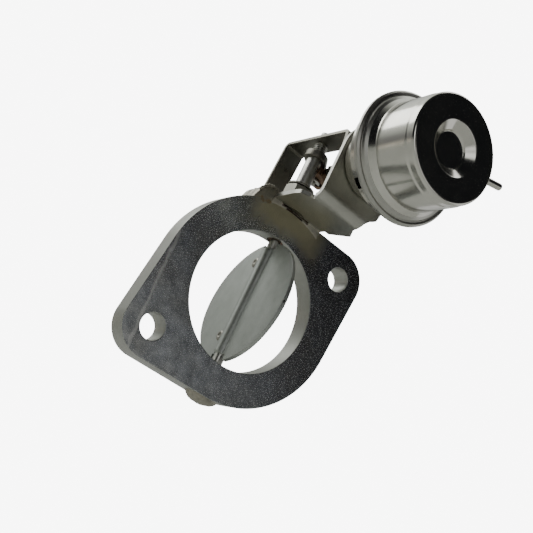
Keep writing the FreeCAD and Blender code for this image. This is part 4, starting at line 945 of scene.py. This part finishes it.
def make_bracket_welds():
    """Every run of weld that holds the foot and the strap."""
    bm = bmesh.new()
    make_mound(bm)
    roughen(bm, 0.32, 2.2, 3.0)
    roughen(bm, 0.1, 0.7, 7.0)
    ridge = [Vector((-21.4, -4.6, 45.6)), Vector((-20.2, -5.0, 47.6)), Vector((-18.0, -5.0, 49.7)),
             Vector((-15.4, -4.8, 50.6)), Vector((-12.8, -4.4, 50.4)), Vector((-11.0, -4.2, 49.0))]
    make_bead(bm, ridge, 0.7, 1.0)
    make_front_seam(bm)
    leg = PLATE_FRONT + SHEET_THICK + 0.25
    for side in (-1, 1):
        x = side * STRAP_HALF
        make_bead(bm, [Vector((x, leg, FOOT_TOP + 6.0)), Vector((x, leg, FOOT_TOP + 12.5))], 0.62, 2.0 + side)
    tail = high("bridge_strap", "y") + 0.2
    level = FOOT_TOP + 0.2
    make_bead(bm, [Vector((-STRAP_HALF, tail, level)), Vector((STRAP_HALF, tail, level))], 0.8, 5.0)
    edge = FOOT_RIGHT - 0.2
    drop = math.sqrt(FLANGE_RAD ** 2 - FOOT_RIGHT ** 2) + 0.6
    make_bead(bm, [Vector((edge, -4.6, drop)), Vector((edge, 4.6, drop))], 0.8, 6.0)
    finish_mesh("bracket_welds_run", bm, [WELD, CREVICE_SHADE], "bracket_welds", smooth_deg=50)


# The flap

CHANNEL_RAD = 3.5
FILLET_RAD = 0.8
SHEET_FLAP = 1.0
DISC_CHAMFER = 0.22
NOTCH_SIZE = (12.0, 10.4, 12.0)
NOTCH_AT = 32.8


def channel_height(across):
    """Height of the outer skin over the flap's middle plane, across the channel."""
    reach = CHANNEL_RAD + FILLET_RAD
    edge = math.sqrt(reach ** 2 - (SHEET_FLAP + FILLET_RAD) ** 2)
    side = abs(across)
    if side < edge * CHANNEL_RAD / reach:
        return math.sqrt(CHANNEL_RAD ** 2 - side ** 2)
    if side < edge:
        return SHEET_FLAP + FILLET_RAD - math.sqrt(max(0.0, FILLET_RAD ** 2 - (side - edge) ** 2))
    return SHEET_FLAP


def disc_cutter(disc):
    """A thick disc with the flap's edge, sloping away above and below it."""
    edge = disc - DISC_CHAMFER
    skin = SHEET_FLAP - DISC_CHAMFER
    section = [(0.0, -6.0), (disc - 3, -6.0), (edge, -SHEET_FLAP), (disc, -skin),
               (disc, skin), (edge, SHEET_FLAP), (disc - 3, 6.0), (0.0, 6.0)]
    return loose_object("disc_cutter", lathe(bmesh.new(), section, "X", (0, 0, 0), steps=160))


def make_flap_plate(node):
    """Half of the flap: a thin disc with a rounded channel pressed in it for the shaft."""
    disc = high(node, "z")
    side = 1 if high(node, "x") > SHEET_FLAP else -1
    fine = [step * 0.22 for step in range(-19, 20)]
    across = [-disc - 1, -disc * 0.7, -disc * 0.4, -8.0, *fine, 8.0, disc * 0.4, disc * 0.7, disc + 1]
    ends = [25.0 + step * 0.3 for step in range(9)]
    middle = [step * 5.0 for step in range(-4, 5)]
    along = [-disc - 1, *[-spot for spot in reversed(ends)], *middle, *ends, disc + 1]
    bm = bmesh.new()
    rows = []
    for z in along:
        raised = min(1.0, max(0.6, (28.6 - abs(z)) / 2.6))
        heights = [SHEET_FLAP + (channel_height(y) - SHEET_FLAP) * raised for y in across]
        rows.append([(bm.verts.new((side * height, y, z)), bm.verts.new((0.0, y, z)))
                     for height, y in zip(heights, across)])
    for near, far in zip(rows, rows[1:]):
        for spot in range(len(across) - 1):
            for skin in (0, 1):
                bm.faces.new((near[spot][skin], near[spot + 1][skin], far[spot + 1][skin], far[spot][skin]))
    for row in (rows[0], rows[-1]):
        for near, far in zip(row, row[1:]):
            bm.faces.new((near[0], far[0], far[1], near[1]))
    for near, far in zip(rows, rows[1:]):
        for spot in (0, -1):
            bm.faces.new((near[spot][0], far[spot][0], far[spot][1], near[spot][1]))
    piece = finish_mesh(node + "_stamped", bm, [FLAP_SHEET], node, smooth_deg=40)
    cut_away(piece, [disc_cutter(disc)], "INTERSECT")
    tools = [rod_cutter((0, 0, -disc - 2), (0, 0, disc + 2), SHAFT_RAD + 0.02)]
    for end in (-1, 1):
        notch = block(NOTCH_SIZE)
        bmesh.ops.translate(notch, vec=(0.0, 0.0, end * NOTCH_AT), verts=notch.verts)
        tools.append(loose_object("notch_cutter", notch))
    cut_away(piece, tools)


RIVET_Y = 5.8
RIVET_HEIGHTS = (20.0, -17.8)


def make_rivets():
    """The flap's rivets: a low dome with a struck dimple on one side, the same closed head on the other."""
    out = high("flap_rivets", "x")
    # Radius, depth below the head's top and, where there is one, the corner's rounding
    head = [(0.0, 0.5), (0.8, 0.42, 0.25), (1.1, 0.06, 0.15), (1.5, 0.0, 0.4), (2.1, 0.2, 0.5),
            (2.7, 0.8, 0.1), (1.1, 0.84)]
    section = [(radius, depth - out, *corner) for radius, depth, *corner in head]
    section += [(radius, out - depth, *corner) for radius, depth, *corner in reversed(head)]
    profile = round_corners(section, steps=3)
    bm = bmesh.new()
    for height in RIVET_HEIGHTS:
        lathe(bm, profile, "X", (0.0, RIVET_Y, height), steps=40)
    finish_mesh("flap_rivets_struck", bm, [HARDWARE], "flap_rivets", smooth_deg=50)


# Nuts, studs and the plug

NUT_STEPS = 72
THREAD_STEPS = 40


def ring_about(axis, centre, station, reaches, turn=0.0):
    """Points round a Y or Z axis through a centre, one for each reach."""
    ring = []
    for step, reach in enumerate(reaches):
        angle = math.tau * step / len(reaches) + turn
        first = reach * math.cos(angle)
        second = reach * math.sin(angle)
        spot = (first, station, second) if axis == "Y" else (first, second, station)
        ring.append(Vector(centre) + Vector(spot))
    return ring


def hexagon_nut(bm, flats, hole, start, end, axis, centre, turn):
    """A nut between two stations on an axis, its corners turned off at 30 degrees on both faces."""
    point = flats / math.sqrt(3)
    face_rad = flats * 0.48
    drop = (point - face_rad) / math.sqrt(3)
    rises = [drop * part / 6 for part in range(7)]
    sectors = [(math.tau * step / NUT_STEPS + math.pi / 6) % (math.pi / 3) - math.pi / 6
               for step in range(NUT_STEPS)]
    loops = []
    for level in [start + rise for rise in rises] + [end - rise for rise in reversed(rises)]:
        turned_off = face_rad + min(level - start, end - level) * math.sqrt(3)
        reaches = [min(flats / 2 / math.cos(sector), turned_off, point) for sector in sectors]
        loops.append(ring_about(axis, centre, level, reaches, turn))
    for level in (end, start):
        loops.append(ring_about(axis, centre, level, [hole] * NUT_STEPS, turn))
    rings = [[bm.verts.new(spot) for spot in loop] for loop in loops]
    join_rings(bm, rings + rings[:1])


def threaded_rod(bm, radius, pitch, start, end, axis, centre):
    """A rod with a 60 degree thread wound on it and a chamfer at each end."""
    depth = pitch * 0.54
    steps = max(8, round((end - start) / (pitch / 8)))
    rows = []
    for row in range(steps + 1):
        station = start + (end - start) * row / steps
        chamfered = radius - depth + min(station - start, end - station)
        reaches = []
        for step in range(THREAD_STEPS):
            phase = (station / pitch + step / THREAD_STEPS) % 1.0
            groove = 1.0 - abs(2 * phase - 1.0)
            cut = depth * max(0.0, min(1.0, groove * 1.25 - 0.12))
            reaches.append(min(radius - cut, chamfered))
        rows.append(ring_about(axis, centre, station, reaches))
    closed_sections(bm, rows)


def make_fixings():
    """The nuts that hold the can, the rod's lock nut and the gland nut, with the studs' threads."""
    nuts = bmesh.new()
    studs = bmesh.new()
    for offset in (STUD_OFF, -STUD_OFF):
        centre = (ROD_X, 0.0, ROD_Z + offset)
        hexagon_nut(nuts, 7.0, 1.7, low("mounting_nuts", "y"), high("mounting_nuts", "y"), "Y", centre,
                    turn=0.3 + offset * 0.05)
        threaded_rod(studs, 2.0, 0.7, low("mounting_studs", "y"), high("mounting_studs", "y"), "Y", centre)
    gland = bmesh.new()
    hexagon_nut(gland, 12.0, SHAFT_RAD + 0.05, high("gland_body", "z"), high("gland_nut", "z"), "Z",
                (0.0, 0.0, 0.0), turn=math.radians(10))
    lock = bmesh.new()
    hexagon_nut(lock, 9.0, 2.45, low("lock_nut", "y"), high("lock_nut", "y"), "Y", ROD_AT, turn=0.2)
    for name, bm, node, smooth_deg in [
            ("gland_nut_turned", gland, "gland_nut", 20), ("lock_nut_chamfered", lock, "lock_nut", 20),
            ("mounting_nuts_chamfered", nuts, "mounting_nuts", 20),
            ("mounting_studs_rolled", studs, "mounting_studs", 45)]:
        finish_mesh(name, bm, [HARDWARE], node, smooth_deg)


PLUG_STEPS = 72
PLUG_RINGS = 14


def make_end_plug():
    """The cap over the shaft's lower bore: a smooth lens of weld, lumpy at its edge."""
    half = high("end_plug", "x") + 0.6
    deep = high("end_plug", "y")
    tall = -FLANGE_RAD - low("end_plug", "z")
    # The first ring is sunk in the flange, and the others close in towards the lens's middle
    rings = [(1.04, 0.5)] + [(1.0 - (step / PLUG_RINGS) ** 1.5, 0.04) for step in range(PLUG_RINGS)]
    rows = []
    for part, sunk in rings:
        dome = max(0.0, 1.0 - part ** 2) ** 0.62 * (tall - 0.15)
        ring = []
        for step in range(PLUG_STEPS):
            angle = math.tau * step / PLUG_STEPS
            reach = 1.0 + 0.05 * perlin.noise(Vector((2 * math.cos(angle), 2 * math.sin(angle), 3.0)))
            x = half * part * reach * math.cos(angle)
            y = min(deep * part * reach, deep) * math.sin(angle)
            ring.append(Vector((x, y, sunk - dome - math.sqrt(FLANGE_RAD ** 2 - x ** 2))))
        rows.append(ring)
    bm = bmesh.new()
    closed_sections(bm, rows)
    roughen(bm, 0.3, 3.0, 12.0)
    roughen(bm, 0.16, 1.1, 15.0)
    finish_mesh("end_plug_welded", bm, [WELD], "end_plug", smooth_deg=60)


# Nodes that keep their own shape

def dress(node, material, edge):
    """Give a node its finish, and soften its edges where a width is given."""
    piece = nodes[node]
    piece.data.materials.clear()
    piece.data.materials.append(material)
    piece.data.shade_smooth()
    join = piece.modifiers.new("join", "WELD")
    join.merge_threshold = 1e-6
    if edge:
        bevel = piece.modifiers.new("soft_edges", "BEVEL")
        bevel.width = edge * MM
        bevel.segments = 2
        bevel.limit_method = "ANGLE"
        bevel.angle_limit = math.radians(32)
        bevel.use_clamp_overlap = False
    evened = piece.modifiers.new("even_shading", "WEIGHTED_NORMAL")
    evened.keep_sharp = False


make_flange()
make_front_can()
make_rear_shell()
make_bracket()
make_strap()
make_bracket_welds()
make_flap_plate("flap_front_plate")
make_flap_plate("flap_rear_plate")
make_rivets()
make_fixings()
make_end_plug()

for node, material, edge in [
        ("upper_bush", BRONZE, 0.15), ("lower_bush", BRONZE, 0.15), ("gland_body", DARK_STEEL, 0.3),
        ("gland_packing", GRAPHITE, 0.0), ("vacuum_nipple", MIRROR, 0.25), ("spring_washers", HARDWARE, 0.12),
        ("rod_guide", BRONZE, 0.2), ("diaphragm", RUBBER, 0.0), ("return_spring", SPRING, 0.0),
        ("piston_cup", SHEET, 0.1), ("backing_plate", SHEET, 0.1), ("piston_nut", HARDWARE, 0.15),
        ("actuator_rod", HARDWARE, 0.2), ("rod_end", BRONZE, 0.2), ("shaft", SHAFT, 0.25),
        ("thrust_washer", HARDWARE, 0.12), ("spacer_sleeve", SHAFT, 0.2), ("lever", DARK_STEEL, 0.25),
        ("lever_pin", HARDWARE, 0.2), ("pin_clip", SPRING, 0.1), ("shaft_clip", SPRING, 0.1),
        ("hub_pin", SPRING, 0.1), ("shaft_spring", SPRING, 0.0)]:
    dress(node, material, edge)
